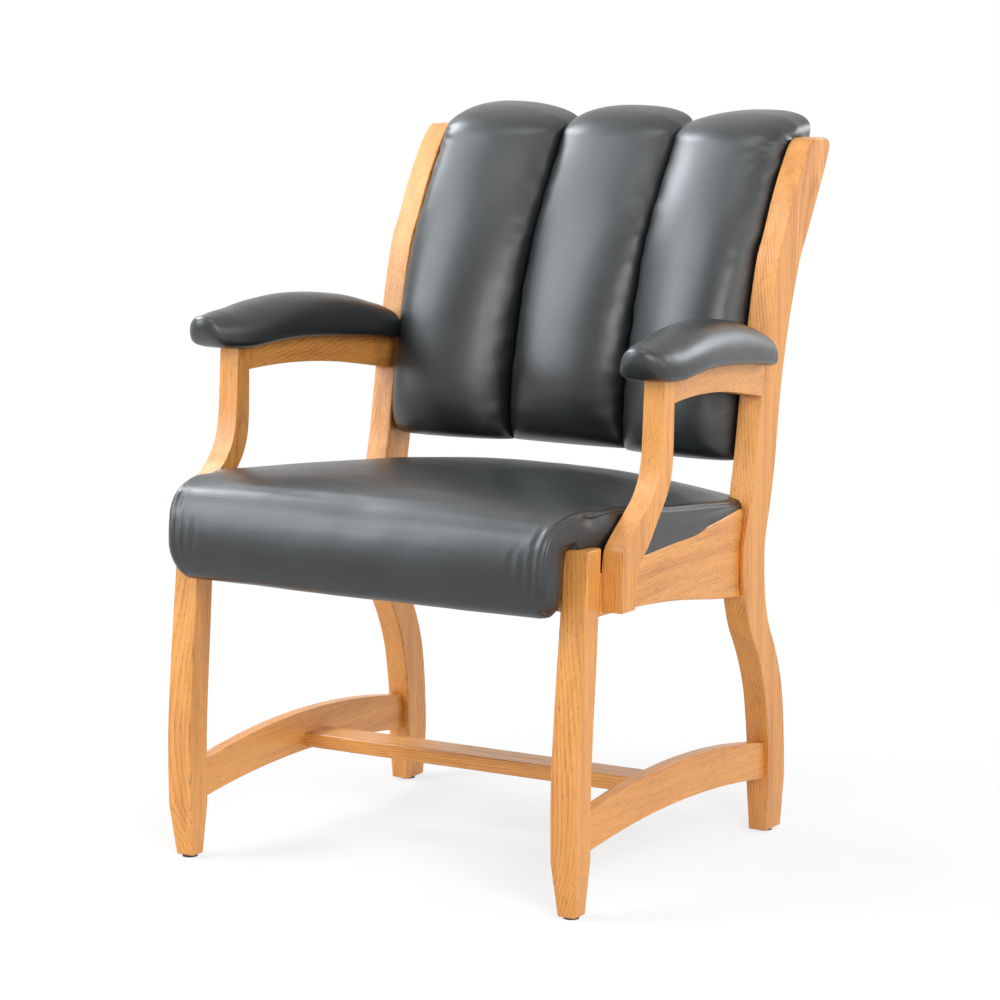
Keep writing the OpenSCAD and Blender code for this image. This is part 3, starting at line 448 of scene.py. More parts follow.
def eased_edges(mesh, grain):
    """The edges of a board that a maker rounds: those along it, but not those of its joints."""
    tree = tree_of(mesh)
    faces_of = {}
    for polygon in mesh.polygons:
        for key in polygon.edge_keys:
            faces_of.setdefault(key, []).append(polygon.normal.copy())
    low_z = min(v.co.z for v in mesh.vertices)
    top_z = max(v.co.z for v in mesh.vertices)
    chosen = []
    for edge in mesh.edges:
        normals = faces_of.get(tuple(sorted(edge.vertices)), [])
        if len(normals) != 2 or normals[0].dot(normals[1]) > FOLD:
            continue
        a, b = (mesh.vertices[i].co for i in edge.vertices)
        middle = (a + b) / 2
        one, other = normals
        if grain == UPRIGHT:
            across = max(abs(one.x), abs(other.x)) > 0.9
            end = min(a.z, b.z) > top_z - MM or max(a.z, b.z) < low_z + MM
            wanted = across or end
        else:
            wanted = abs((b - a).normalized()["xyz".index(grain)]) > 0.6
        if wanted and is_outer(tree, middle, one, other) and is_outer(tree, middle, other, one):
            chosen.append(edge.index)
    return chosen


def shaped_board(node, grain, edge):
    """A copy of a board's mesh, with its faces joined up and its long edges rounded."""
    mesh = NODES[node].data.copy()
    piece = in_scene(node + "_shaping", mesh)
    with edited(piece):
        bpy.ops.mesh.remove_doubles(threshold=WELD)
        bpy.ops.mesh.dissolve_limited(angle_limit=math.radians(0.6))
        bpy.ops.mesh.select_all(action="DESELECT")
    for index in eased_edges(mesh, grain):
        mesh.edges[index].select = True
    bpy.ops.object.mode_set(mode="EDIT")
    bpy.context.tool_settings.mesh_select_mode = (False, True, False)
    bpy.ops.mesh.bevel(offset=edge, segments=3, profile=0.5, affect="EDGES", clamp_overlap=True)
    bpy.ops.object.mode_set(mode="OBJECT")
    bpy.ops.object.shade_smooth_by_angle(angle=math.radians(32))
    apply_modifier(piece, "WEIGHTED_NORMAL", keep_sharp=True, weight=60)
    return taken_out(piece)


def set_heart(mesh, heart):
    """Stores where the heart of the board's tree lay, for the growth rings."""
    layer = mesh.attributes.new("heart", "FLOAT_VECTOR", "POINT")
    layer.data.foreach_set("vector", np.tile(heart, len(mesh.vertices)).astype(np.float32))


def board_heart(node, grain, offset, turn):
    """A place on the heart of a board's tree, on the other side where turn is -1."""
    low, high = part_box(node)
    middle = (low + high) / 2
    a, b = [i for i in range(3) if i != "xyz".index(grain)]
    middle[a] += offset[0] * turn
    middle[b] += offset[1]
    return middle


class ARMCHAIR_OT_boards(bpy.types.Operator):
    """Rounds the edges of the oak boards and gives them their grain"""

    bl_idname = "armchair.boards"
    bl_label = "Oak boards"

    def execute(self, context):
        edge = context.scene.armchair_oak.edge
        woods = {axis: oak(axis) for axis in (UPRIGHT, DEEP, ACROSS)}
        boards = [(f"{name}_{side}", axis, offset, turn)
                  for name, (axis, offset) in BOARDS.items() for side, turn in SIDES.items()]
        boards += [(name, axis, offset, 1) for name, (axis, offset) in CROSS_BOARDS.items()]
        for node, axis, offset, turn in boards:
            mesh = shaped_board(node, axis, edge)
            set_heart(mesh, board_heart(node, axis, offset, turn))
            add_piece("oak_" + node, mesh, woods[axis], node)
        return {"FINISHED"}


class ARMCHAIR_OT_inner_frame(bpy.types.Operator):
    """Gives the hidden frame pieces, fasteners and glides their finishes"""

    bl_idname = "armchair.inner_frame"
    bl_label = "Inner frame"

    def execute(self, context):
        sawn = {axis: raw_wood(f"sawn_oak_{axis}", (0.60, 0.40, 0.21), (0.42, 0.25, 0.12), axis)
                for axis in (UPRIGHT, DEEP, ACROSS)}
        stained = raw_wood("stained_oak", (0.70, 0.31, 0.080), (0.46, 0.16, 0.036), ACROSS)
        ply = raw_wood("plywood", (0.66, 0.48, 0.28), (0.50, 0.33, 0.17), DEEP)
        finishes = {
            "front_rail": sawn[ACROSS], "back_top_rail": sawn[ACROSS],
            "back_low_rail": stained, "back_cleat_left": sawn[UPRIGHT],
            "back_cleat_right": sawn[UPRIGHT], "arm_dowels": sawn[DEEP],
            "seat_board": ply, "back_board": ply, "arm_board_left": ply,
            "arm_board_right": ply, "seat_dust_cover": woven_cloth(), "foot_glides": nylon(),
        }
        for end in ("front", "rear"):
            for side in SIDES:
                finishes[f"corner_block_{end}_{side}"] = sawn[ACROSS]
        steel = plated_steel()
        for name in ("corner", "seat", "arm_post", "arm_pad", "back"):
            finishes[name + "_screws"] = steel
        for node, material in finishes.items():
            dress(NODES[node].data, material)
        return {"FINISHED"}


# Padded pieces


def smooth_step(t):
    t = np.clip(t, 0, 1)
    return t * t * (3 - 2 * t)


def rising(value, start, span):
    """0 up to start, 1 past start + span, and smooth in between."""
    return smooth_step((value - start) / span)


def falling(value, end, span):
    """1 up to end - span, 0 past end, and smooth in between."""
    return smooth_step((end - value) / span)


def hump(distance, width):
    """1 at no distance, and dying away over a width."""
    return np.exp(-(distance / width) ** 2)


def curve(places, values, at):
    """A smooth curve through a few points, read at some places."""
    places, values = np.asarray(places, float), np.asarray(values, float)
    slopes = np.gradient(values, places)
    at = np.clip(at, places[0], places[-1])
    k = np.clip(np.searchsorted(places, at, side="right") - 1, 0, len(places) - 2)
    span = places[k + 1] - places[k]
    t = (at - places[k]) / span
    return ((2 * t ** 3 - 3 * t ** 2 + 1) * values[k] + (t ** 3 - 2 * t ** 2 + t) * span * slopes[k]
            + (3 * t ** 2 - 2 * t ** 3) * values[k + 1] + (t ** 3 - t ** 2) * span * slopes[k + 1])


def rumple(points, scale, seed=0.0):
    """Smooth noise from about -1 to 1 at each point."""
    shift = Vector((seed, seed * 1.7, -seed))
    return np.array([noise.noise(Vector(p) * scale + shift) for p in points])


def away_from(points, line):
    """Distance of each point from a line through a few places."""
    best = np.full(len(points), 1e9)
    for a, b in zip(line[:-1], line[1:]):
        a, b = np.asarray(a, float), np.asarray(b, float)
        t = np.clip(((points - a) @ (b - a)) / ((b - a) @ (b - a)), 0, 1)
        best = np.minimum(best, np.linalg.norm(points - a - t[:, None] * (b - a), axis=1))
    return best


def shell(name, rings):
    """A closed mesh through rings of the same even number of points."""
    rings = np.asarray(rings)
    count, around = rings.shape[:2]
    faces = []
    for j in range(count - 1):
        a, b = j * around, (j + 1) * around
        for i in range(around):
            k = (i + 1) % around
            faces.append((a + i, a + k, b + k, b + i))
    last = (count - 1) * around
    for i in range(around // 2 - 1):
        j = around - 1 - i
        faces.append((j, j - 1, i + 1, i))
        faces.append((last + i, last + i + 1, last + j - 1, last + j))
    mesh = bpy.data.meshes.new(name)
    mesh.from_pydata(rings.reshape(-1, 3).tolist(), [], faces)
    mesh.update()
    return mesh


def read_points(mesh, what):
    flat = np.empty(len(mesh.vertices) * 3, np.float32)
    mesh.vertices.foreach_get(what, flat)
    return flat.reshape(-1, 3).astype(float)


def places_of(mesh):
    return read_points(mesh, "co")


def normals_of(mesh):
    return read_points(mesh, "normal")


def move_to(mesh, places):
    mesh.vertices.foreach_set("co", np.asarray(places, np.float32).ravel())
    mesh.update()


def move_out(mesh, places, normals, shift):
    """Moves each point along its normal."""
    move_to(mesh, places + normals * shift[:, None])


def closed_up(mesh):
    """Merges the doubles of a shell and turns its faces outwards."""
    piece = in_scene("closing", mesh)
    with edited(piece):
        bpy.ops.mesh.remove_doubles(threshold=WELD)
        bpy.ops.mesh.dissolve_degenerate(threshold=0.01 * MM)
        bpy.ops.mesh.normals_make_consistent(inside=False)
    return taken_out(piece)


# How a frame piece is cut out of a pad: the solver, and the clearance in millimetres, in the
# order in which they are tried
CUTS = (("MANIFOLD", 0.60), ("MANIFOLD", 0.55), ("EXACT", 0.60))


def cut_round(mesh, node):
    """A padded shell without the room that a frame piece takes."""
    for solver, clearance in CUTS:
        cutter = in_scene("cutter", closed_up(NODES[node].data.copy()))
        places, normals = places_of(cutter.data), normals_of(cutter.data)
        move_to(cutter.data, places + normals * clearance * MM)
        trial = in_scene("trial", mesh.copy())
        apply_modifier(trial, "BOOLEAN", operation="DIFFERENCE", solver=solver, object=cutter)
        trimmed = taken_out(trial)
        bpy.data.objects.remove(cutter)
        if len(trimmed.vertices) > 0.5 * len(mesh.vertices):
            return trimmed
    raise RuntimeError(f"a pad could not be fitted round {node}")


def fitted(mesh, nodes):
    """A padded shell cut to its frame pieces, without the slivers that the cuts leave."""
    for node in nodes:
        mesh = cut_round(mesh, node)
    with edited(in_scene("fitting", mesh)):
        bpy.ops.mesh.separate(type="LOOSE")
    shells = sorted(bpy.context.selected_objects, key=lambda part: -len(part.data.vertices))
    meshes = [taken_out(part) for part in shells]
    return meshes[0]


# The leather as cloth: its settings, how many frames it swells for, and how its travel is evened
# afterwards
CLOTH = {
    "quality": 6, "mass": 0.4, "tension_stiffness": 40, "compression_stiffness": 40,
    "shear_stiffness": 20, "bending_stiffness": 2.0, "use_pressure": True,
    "uniform_pressure_force": 4.0, "vertex_group_mass": "held",
}
CLOTH_FRAMES = 20
EVEN_ROUNDS = 14
EVEN_OWN, EVEN_OTHERS = 0.4, 0.6


def swell(mesh, held, cap, voxel=0.006):
    """Moves a shell's points as far as stuffing would push its leather outwards.

    A coarse copy, of cells the size of voxel, swells as cloth under pressure. It is held where
    held(places, normals) is near 1, and no point travels further than cap.
    """
    scene = bpy.context.scene
    coarse = in_scene("stuffing", mesh.copy())
    apply_modifier(coarse, "REMESH", mode="VOXEL", voxel_size=voxel)
    rest = places_of(coarse.data)
    grip = held(rest, normals_of(coarse.data))
    group = coarse.vertex_groups.new(name="held")
    for index, weight in enumerate(grip):
        group.add([index], float(weight), "REPLACE")
    pick(coarse)
    cloth = coarse.modifiers.new("Cloth", "CLOTH").settings
    for key, value in CLOTH.items():
        setattr(cloth, key, value)
    cloth.effector_weights.gravity = 0
    for step in range(CLOTH_FRAMES):
        scene.frame_set(step + 1)
    bpy.ops.object.modifier_apply(modifier="Cloth")
    push = places_of(coarse.data) - rest
    size = np.linalg.norm(push, axis=1, keepdims=True)
    push *= cap * np.tanh(size / cap) / np.maximum(size, 1e-9)
    push = evened(coarse.data, push) * (1 - grip)[:, None]
    faces = [tuple(p.vertices) for p in coarse.data.polygons]
    tree = BVHTree.FromPolygons([Vector(p) for p in rest], faces)
    places = places_of(mesh)
    moved = np.zeros_like(places)
    for i, p in enumerate(places):
        spot, _, face, _ = tree.find_nearest(Vector(p))
        corners = list(faces[face])
        near = 1 / (np.linalg.norm(rest[corners] - np.array(spot), axis=1) + 0.2 * MM) ** 2
        moved[i] = near @ push[corners] / near.sum()
    bpy.data.objects.remove(coarse)
    scene.frame_set(1)
    move_to(mesh, places + moved)


def evened(mesh, values):
    """Values at the points of a mesh, each drawn towards the mean of its neighbours."""
    edges = np.empty(len(mesh.edges) * 2, np.int32)
    mesh.edges.foreach_get("vertices", edges)
    a, b = edges.reshape(-1, 2).T
    count = np.bincount(np.concatenate([a, b]), minlength=len(mesh.vertices))[:, None]
    for _ in range(EVEN_ROUNDS):
        total = np.zeros_like(values)
        np.add.at(total, a, values[b])
        np.add.at(total, b, values[a])
        values = EVEN_OWN * values + EVEN_OTHERS * total / np.maximum(count, 1)
    return values


def add_pad(name, mesh, node, angle):
    """Adds a leather piece, smooth where its faces meet at less than an angle in degrees."""
    piece = add_piece(name, mesh, bpy.data.materials[LEATHER], node)
    pick(piece)
    bpy.ops.object.shade_smooth_by_angle(angle=math.radians(angle))


def front_line():
    """Where the fronts of the feet stand, from which the seat's and the pads' depths count."""
    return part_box("seat_cushion")[0].y + bpy.context.scene.armchair_seat.bulge


def front_of(node, heights):
    """Where the front of an upright lies at each height."""
    low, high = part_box(node)
    tree = tree_of(NODES[node].data)
    start = Vector((high.x - 3 * MM, low.y - 0.2, 0))
    return np.array([tree.ray_cast(start + Vector((0, 0, z)), Vector((0, 1, 0)))[0].y
                     for z in heights])


# The back: heights of its low edge and of its frame's top, depths of its rear cover and of its
# board behind the fronts of the posts, and half of its width
BACK_LOW = 0.482
FRAME_TOP = 0.870
COVER_DEPTH = 0.061
BOARD_DEPTH = 0.034
BACK_HALF = 0.255
# How far the rolls and the seams between them rise over the frame's top
TOP_ROLL = 0.038
SEAM_RISE = 0.011
# How full the rolls are, at shares of the back's height
BACK_FILL = ([0, .03, .06, .1, .15, .22, .4, .6, .8, 1],
             [.62, .70, .79, .88, .95, 1, .97, .88, .84, .84])
# Across a roll: its columns, how far the outer ones lean outwards, and how square it is
ROLL_STEPS = 32
ROLL_LEAN = 0.26
ROLL_POWER = 2.4
# Radius of the turn at the low edge, and the rows of the mesh there, above it and over the top
LOW_TURN = 0.020
LOW_ROWS, FACE_ROWS, TOP_ROWS = 10, 119, 25
# How square the turn over the top is
TOP_POWER = 0.92
# How high above its low edge the cushion reaches back under the low rail
RAIL_LIP = 0.0095
# How far the cushion stands clear of its board, and of the frame's top
BOARD_GAP = 0.0008
TOP_GAP = 0.0005
# Length of the rounded tip of a post, on which its front isn't read
POST_TIP = 0.015


def back_rings(look):
    """Rings of the back cushion: its three rolls in front, and a plain rear."""
    lanes, widths = [], []
    for roll in (-1, 0, 1):
        for i in range(0 if roll == -1 else 1, ROLL_STEPS + 1):
            lanes.append(roll)
            widths.append(math.sin(math.pi * (i / ROLL_STEPS - 0.5)))
    lanes, widths = np.array(lanes), np.array(widths)
    lean = widths - ROLL_LEAN * lanes * (1 - widths ** 2)
    arc = (1 - np.abs(lean) ** ROLL_POWER) ** (1 / ROLL_POWER)
    x = (lanes + widths / 2) * 2 * BACK_HALF / 3
    proud = np.where(lanes == 0, look.middle, look.outer)

    def section(fill):
        full = np.where(lanes == 0, fill * fill, fill)
        return look.seam - (look.seam + proud) * arc * full

    def row(depth, z, rear_depth, rear_z):
        face = np.stack([x, depth, np.full_like(x, z)], 1)
        rear = np.stack([x[::-1], np.full_like(x, rear_depth), np.full_like(x, rear_z)], 1)
        return np.concatenate([face, rear])

    top = FRAME_TOP + TOP_GAP
    turns = np.linspace(0, 1, LOW_ROWS)
    low_heights = BACK_LOW + LOW_TURN * (1 - np.cos(turns * math.pi / 2))
    heights = np.linspace(low_heights[-1], top, FACE_ROWS + 1)[1:]
    heights = np.concatenate([low_heights, heights])
    tuck = np.concatenate([np.sin(turns * math.pi / 2), np.ones(FACE_ROWS)])
    fronts = front_of("back_post_right", np.minimum(heights, FRAME_TOP - POST_TIP))
    sampled = np.linspace(BACK_LOW, FRAME_TOP - POST_TIP, 60)
    line = np.polynomial.Polynomial.fit(sampled, front_of("back_post_right", sampled), 5)
    slope = line.deriv()(top)
    fills = curve(*BACK_FILL, (heights - BACK_LOW) / (top - BACK_LOW))
    rings = []
    for z, y, even, fill, k in zip(heights, fronts, line(heights), fills, tuck):
        front = section(fill) + (1 - k) * LOW_TURN * 1.1 * (0.3 + 0.7 * arc)
        at_rail = z < BACK_LOW + RAIL_LIP or z >= top - 1e-6
        near = COVER_DEPTH if at_rail else BOARD_DEPTH - BOARD_GAP
        rings.append(row(even + front, z, y + near, z))
    y, front = line(top), section(fills[-1])
    for turn in np.linspace(0, math.radians(88), TOP_ROWS + 1)[1:]:
        rise = (SEAM_RISE + (TOP_ROLL - SEAM_RISE) * arc) * math.sin(turn) ** TOP_POWER
        bend = math.cos(turn) ** TOP_POWER
        up = SEAM_RISE * math.sin(turn) / 2
        depth = y + COVER_DEPTH + (front - COVER_DEPTH) * bend + rise * slope
        rings.append(row(depth, top + rise, y + COVER_DEPTH + up * slope, top + up))
    return np.array(rings)


def seam_distance(x):
    """Distance across the back from the nearest of its seams."""
    third = 2 * BACK_HALF / 3
    return np.abs((x + BACK_HALF + third / 2) % third - third / 2)


# The gathers over the tops of the posts: how far outside and below the frame's corner they fan out
# from, how many fit in a full turn, how deep they are, and where they begin and die away
PLEAT_OUT, PLEAT_DOWN = 0.004, 0.002
PLEATS = 15
PLEAT_DEPTH = 0.0011
PLEAT_START = 0.012
PLEAT_REACH = 0.030
# The panel behind the back: its thickness, its rounded edge, how far it bulges, its rows and
# its columns
PANEL_THICK = 0.0040
PANEL_EDGE = 0.0016
PANEL_BULGE = 0.0022
PANEL_ROWS, PANEL_COLUMNS = 70, 61
# How far the panel's front stands clear of the boards that it covers
PANEL_GAP = 0.0003


class ARMCHAIR_OT_back(bpy.types.Operator):
    """Makes the back cushion with its three upright rolls, and the panel behind it"""

    bl_idname = "armchair.back"
    bl_label = "Back cushion"

    def execute(self, context):
        look = context.scene.armchair_back
        mesh = closed_up(shell("back_cushion", back_rings(look)))
        heights = np.linspace(BACK_LOW, FRAME_TOP, 60)
        line = front_of("back_post_right", heights)

        def depth(places):
            return places[:, 1] - np.interp(places[:, 2], heights, line)

        def held(places, normals):
            near_seam = hump(seam_distance(places[:, 0]), 0.011)
            rear = rising(depth(places), 0.012, 0.012)
            return np.clip(near_seam + rear, 0, 1)

        swell(mesh, held, 0.006)
        places, normals = places_of(mesh), normals_of(mesh)
        over = rising(places[:, 2], FRAME_TOP, 0.01) * falling(depth(places), 0.05, 0.02)
        free = np.maximum(falling(depth(places), 0.026, 0.02), over)
        gap = seam_distance(places[:, 0])
        folds = rumple(places * [0.30, 1.0, 1.0], 58.0, 3.1) * hump(gap, 0.020)
        broad = rumple(places, 8.0, 8.2)
        shift = free * (look.pucker * 1.5 * folds + 0.0012 * broad + self.pleats(places))
        move_out(mesh, places, normals, shift)
        add_pad("leather_back", mesh, "back_cushion", 60)
        self.panel()
        return {"FINISHED"}

    def pleats(self, places):
        """The gathers where the leather is drawn over the tops of the posts."""
        aside = BACK_HALF + PLEAT_OUT - np.abs(places[:, 0])
        above = places[:, 2] - (FRAME_TOP - PLEAT_DOWN)
        reach = np.hypot(aside, above)
        fan = np.cos(np.arctan2(above, aside) * PLEATS)
        return PLEAT_DEPTH * fan * smooth_step(reach / PLEAT_START) * hump(reach, PLEAT_REACH)

    def panel(self):
        """The leather-covered panel that closes the back."""
        heights = np.linspace(BACK_LOW + 0.0105, FRAME_TOP - PANEL_GAP, PANEL_ROWS)
        fronts = front_of("back_post_right", heights)
        across = np.linspace(-1, 1, PANEL_COLUMNS)
        flat = BACK_HALF - PANEL_GAP - PANEL_EDGE
        angles = np.radians(np.linspace(-90, 90, 9))[1:-1]
        middle = COVER_DEPTH - PANEL_THICK / 2
        edge = np.array([(flat + PANEL_EDGE * math.cos(a),
                          middle + (PANEL_THICK / 2 - PANEL_GAP) * math.sin(a)) for a in angles])
        near = np.full(PANEL_COLUMNS, COVER_DEPTH - PANEL_THICK + PANEL_GAP)
        rings = []
        for i, (z, y) in enumerate(zip(heights, fronts)):
            end = min(i, len(heights) - 1 - i)
            slim = 1 - 0.35 * (end == 0)
            bulge = PANEL_BULGE * min(1, end / 12) ** 0.6 * (1 - across ** 8)
            rear = COVER_DEPTH - PANEL_THICK * (1 - slim) + bulge
            loop = np.concatenate([
                np.stack([across * flat, near], 1), edge,
                np.stack([(across * flat)[::-1], rear[::-1]], 1), edge[::-1] * [-1, 1]])
            rings.append(np.stack([loop[:, 0], y + loop[:, 1], np.full(len(loop), z)], 1))
        mesh = closed_up(shell("back_panel", rings))
        add_pad("leather_back_panel", mesh, "back_cover", 40)


# All round the middle of the seat, in millimetres: depth behind the front line and height, of its
# leather from below the roll to the rear, and of its underside in the same order
SEAT_LEATHER = [
    (6, 358), (-6, 358.2), (-17, 360), (-25, 364.5), (-33, 378.5),
    (-37.2, 396), (-38, 410), (-37.2, 425), (-33.4, 443), (-26, 457.5),
    (-14, 468.8), (4, 476.5), (28, 481.6), (62, 485), (112, 487), (187, 485.8),
    (257, 481.5), (322, 476.2), (382, 470), (422, 465), (446, 458.5),
    (461, 449), (469.5, 436), (473.4, 420), (473.7, 401.4)]
SEAT_UNDER = [
    (8, 358), (16, 359.6), (21, 362), (24.5, 366), (27, 372),
    (27, 380), (27, 387), (27, 393), (27, 398), (27.5, 402),
    (31, 405), (40, 405), (54, 405), (76, 405), (118, 405), (188, 405),
    (257, 405), (322, 405), (382, 405), (420, 405), (438, 405),
    (450, 405), (460, 404), (468, 402.5), (472.9, 401)]
# How far the seat's ends lie from its middle, and the radius of their seams
SEAT_SPAN = 0.289
SEAT_SEAM = 9.0 * MM
# How far the seat's sides lie from its middle, at depths behind the front line: high up, and low
# down, where they sit between the front legs
SIDE_HIGH = ([-0.04, -0.012, 0.010, 0.030, 0.050, 0.070, 0.092, 0.120, 0.475],
             [0.268, 0.270, 0.272, 0.275, 0.279, 0.283, 0.2865, 0.2877, 0.2735])
SIDE_LOW = ([-0.04, -0.025, -0.008, 0.006, 0.016, 0.024, 0.055],
            [0.2655, 0.2690, 0.2695, 0.2660, 0.2620, 0.2600, 0.2600])
# Height at which the sides flare from low to high, how much lower it is over the legs, and how
# much height the flare takes
FLARE = 0.4320
FLARE_OVER_LEG = 0.0130
FLARE_SPAN = 0.0150
# Height below which the roll's sides are tucked in, how far down that goes, and how far in
TUCK = 0.402
TUCK_SPAN = 0.044
TUCK_IN = 0.019
# How much lower the side seam lies than the middle of the seat, at depths behind the front line
SEAT_DROP = ([-0.04, -0.014, 0.010, 0.050, 0.112, 0.187, 0.257, 0.322, 0.387, 0.425, 0.462],
             [0.000, 0.001, 0.0020, 0.0045, 0.0125, 0.0205, 0.0250, 0.0262, 0.0268, 0.0262, 0.0200])
# Points along the leather at the seat's middle, and rows from there to the seam at the side,
# round the seam and over the end
SEAT_POINTS = 170
SEAT_ROWS, SEAM_ROWS, END_ROWS = 57, 17, 17
# Depth of the groove beside the seam, how far the ends bulge, and how far the front of the roll
# stands back at its ends
GROOVE = 0.0010
END_BULGE = 0.0025
CORNER_BOW = 0.004
# The creases beside the corner seams: the line of each, how strong it is, and its width
SEAT_CREASES = (
    ([(0.243, -0.034, 0.452), (0.240, -0.038, 0.430), (0.241, -0.038, 0.392)], 1.0, 0.0024),
    ([(0.226, -0.036, 0.446), (0.224, -0.038, 0.424), (0.225, -0.038, 0.405)], 0.6, 0.0030),
    ([(0.255, -0.018, 0.464), (0.252, -0.034, 0.445), (0.252, -0.038, 0.410),
      (0.248, -0.036, 0.380)], 0.8, 0.0022),
)
# The dimple beside an arm post: its place, its depth and its width
PINCH = (0.281, 0.062, 0.473)
PINCH_DEPTH = 0.006
PINCH_WIDTH = 0.014


def seat_outline(steps):
    """The leather and the underside of the seat's middle, as many points of each."""
    leather, under = np.array(SEAT_LEATHER) * MM, np.array(SEAT_UNDER) * MM
    run = np.concatenate([[0], np.cumsum(np.linalg.norm(np.diff(leather, axis=0), axis=1))])
    fine = np.linspace(0, run[-1], 3000)
    depth = curve(run, leather[:, 0], fine)
    pace = np.where((depth < 0.09) | (depth > 0.43), 1.0, 0.5)
    travel = np.concatenate([[0], np.cumsum(np.diff(fine) * (pace[1:] + pace[:-1]) / 2)])
    at = np.interp(np.linspace(0, travel[-1], steps), travel, fine)
    outer = np.stack([curve(run, leather[:, i], at) for i in (0, 1)], 1)
    inner = np.stack([np.interp(at, run, under[:, i]) for i in (0, 1)], 1)
    return outer, inner


def side_reach(y, z):
    """How far the sides of the seat lie from its middle at a depth and a height."""
    high, low = curve(*SIDE_HIGH, y), curve(*SIDE_LOW, y)
    bottom = np.clip((TUCK - z) / TUCK_SPAN, 0, 1)
    low = low - TUCK_IN * bottom ** 2 * (1 - 0.5 * rising(y, -0.026, 0.03))
    over_leg = rising(y, 0.024, 0.008)
    flare = smooth_step((z - FLARE + FLARE_OVER_LEG * over_leg) / FLARE_SPAN)
    behind = rising(y, 0.0570, 0.0030)
    return low + (high - low) * np.maximum(flare, behind)


class ARMCHAIR_OT_seat(bpy.types.Operator):
    """Makes the seat cushion with its deep front roll and its boxed ends"""

    bl_idname = "armchair.seat"
    bl_label = "Seat cushion"

    def execute(self, context):
        self.front = front_line()
        mesh = closed_up(self.form())
        swell(mesh, self.held, 0.005, 0.007)
        self.detail(mesh, context.scene.armchair_seat.crease)
        nodes = ["seat_board", "front_rail"]
        nodes += [f"{name}_{side}" for name in ("front_leg", "side_rail", "back_post")
                  for side in SIDES]
        add_pad("leather_seat", fitted(mesh, nodes), "seat_cushion", 55)
        return {"FINISHED"}

    def form(self):
        """The cushion before it is fitted round the frame."""
        outer, inner = seat_outline(SEAT_POINTS)
        loop = np.concatenate([outer, inner[::-1]])
        along = np.roll(loop, -1, 0) - np.roll(loop, 1, 0)
        outward = np.stack([-along[:, 1], along[:, 0]], 1)
        outward /= np.linalg.norm(outward, axis=1, keepdims=True)
        across = 1 - (1 - np.linspace(0, 1, SEAT_ROWS + 1)) ** 1.35
        rings = [self.ring(loop, a * (SEAT_SPAN - SEAT_SEAM) / SEAT_SPAN) for a in across]
        for turn in np.linspace(0, math.pi / 2, SEAM_ROWS + 1)[1:]:
            groove = GROOVE * hump(turn - 1.0, 0.11)
            inset = SEAT_SEAM * (1 - math.cos(turn)) + groove
            rings.append(self.ring(loop - outward * inset,
                                   1 - (SEAT_SEAM * (1 - math.sin(turn)) + groove) / SEAT_SPAN))
        last = loop - outward * SEAT_SEAM
        middle = (last + last[::-1]) / 2
        for s in np.linspace(1, 0, END_ROWS + 1)[1:]:
            rings.append(self.ring(middle + (last - middle) * s,
                                   1 + END_BULGE * (1 - s * s) / SEAT_SPAN))
        half = np.array(rings)
        whole = np.concatenate([half[:0:-1] * [-1, 1, 1], half])
        return shell("seat_cushion", whole)

    def ring(self, loop, a):
        """The loop of points at a share of the way from the seat's middle to its side."""
        y, z = loop[:, 0], loop[:, 1]
        behind = rising(y, 0.040, 0.030)
        top = rising(z, 0.440, 0.030) * (1 - behind)
        top += np.clip((z - 0.405) / 0.057, 0, 1) * behind
        share = np.clip(np.abs(a), 0, 1)
        bow = CORNER_BOW * share ** 2 * smooth_step(1 - (y + 0.038) / 0.1)
        drop = curve(*SEAT_DROP, y) * share ** 2.5 * top
        return np.stack([a * side_reach(y, z), self.front + y + bow, z - drop], 1)

    def held(self, places, normals):
        y = places[:, 1] - self.front
        floor = rising(-normals[:, 2], 0.5, 0.3)
        sides = rising(np.abs(places[:, 0]) - side_reach(y, places[:, 2]), -0.012, 0.010)
        return np.clip(floor + sides + rising(y, 0.43, 0.02), 0, 1)

    def detail(self, mesh, depth):
        """Creases beside the corner seams, the dimples beside the arm posts, and gentle waves."""
        places, normals = places_of(mesh), normals_of(mesh)
        local = places - [0, self.front, 0]
        folded = local.copy()
        folded[:, 0] = np.abs(folded[:, 0])
        shift = 0.0010 * rumple(local, 7.0, 2.5) + 0.0004 * rumple(local, 23.0, 6.0)
        for line, weight, width in SEAT_CREASES:
            away = away_from(folded, line)
            shift -= depth * weight * hump(away, width * 1.6)
            shift += depth * 0.35 * weight * hump(away - 0.006, 0.004)
        pinch = np.linalg.norm((folded - PINCH) / [1, 1.5, 1], axis=1)
        shift -= PINCH_DEPTH * hump(pinch, PINCH_WIDTH)
        move_out(mesh, places, normals, shift)


# Along an arm pad from its nose: the place, its shares of the pad's half width and height, and
# how far its underside is lifted
PAD_ROWS = np.array([
    (0.000, 0.20, 0.18, 0.34), (0.015, 0.46, 0.42, 0.19), (0.040, 0.66, 0.61, 0.05),
    (0.080, 0.80, 0.74, 0.00), (0.140, 0.91, 0.82, 0.00), (0.210, 0.97, 0.87, 0.00),
    (0.300, 1.00, 0.89, 0.00), (0.400, 1.00, 0.90, 0.00), (0.520, 0.99, 0.89, 0.00),
    (0.640, 0.98, 0.87, 0.00), (0.760, 0.96, 0.83, 0.00), (0.870, 0.94, 0.76, 0.00),
    (0.940, 0.90, 0.70, 0.00), (0.980, 0.84, 0.62, 0.00), (1.000, 0.70, 0.48, 0.04),
])
# How far the pads are turned from straight back, the place that they are measured from, across
# the chair and behind the front line, where along them they end, and their half width and height
PAD_TOE = math.radians(6.0651)
PAD_ORIGIN = (0.3055, 0.1695)
PAD_ENDS = (-0.0675, 0.29713)
PAD_HALF = 0.042
PAD_HEIGHT = 0.060
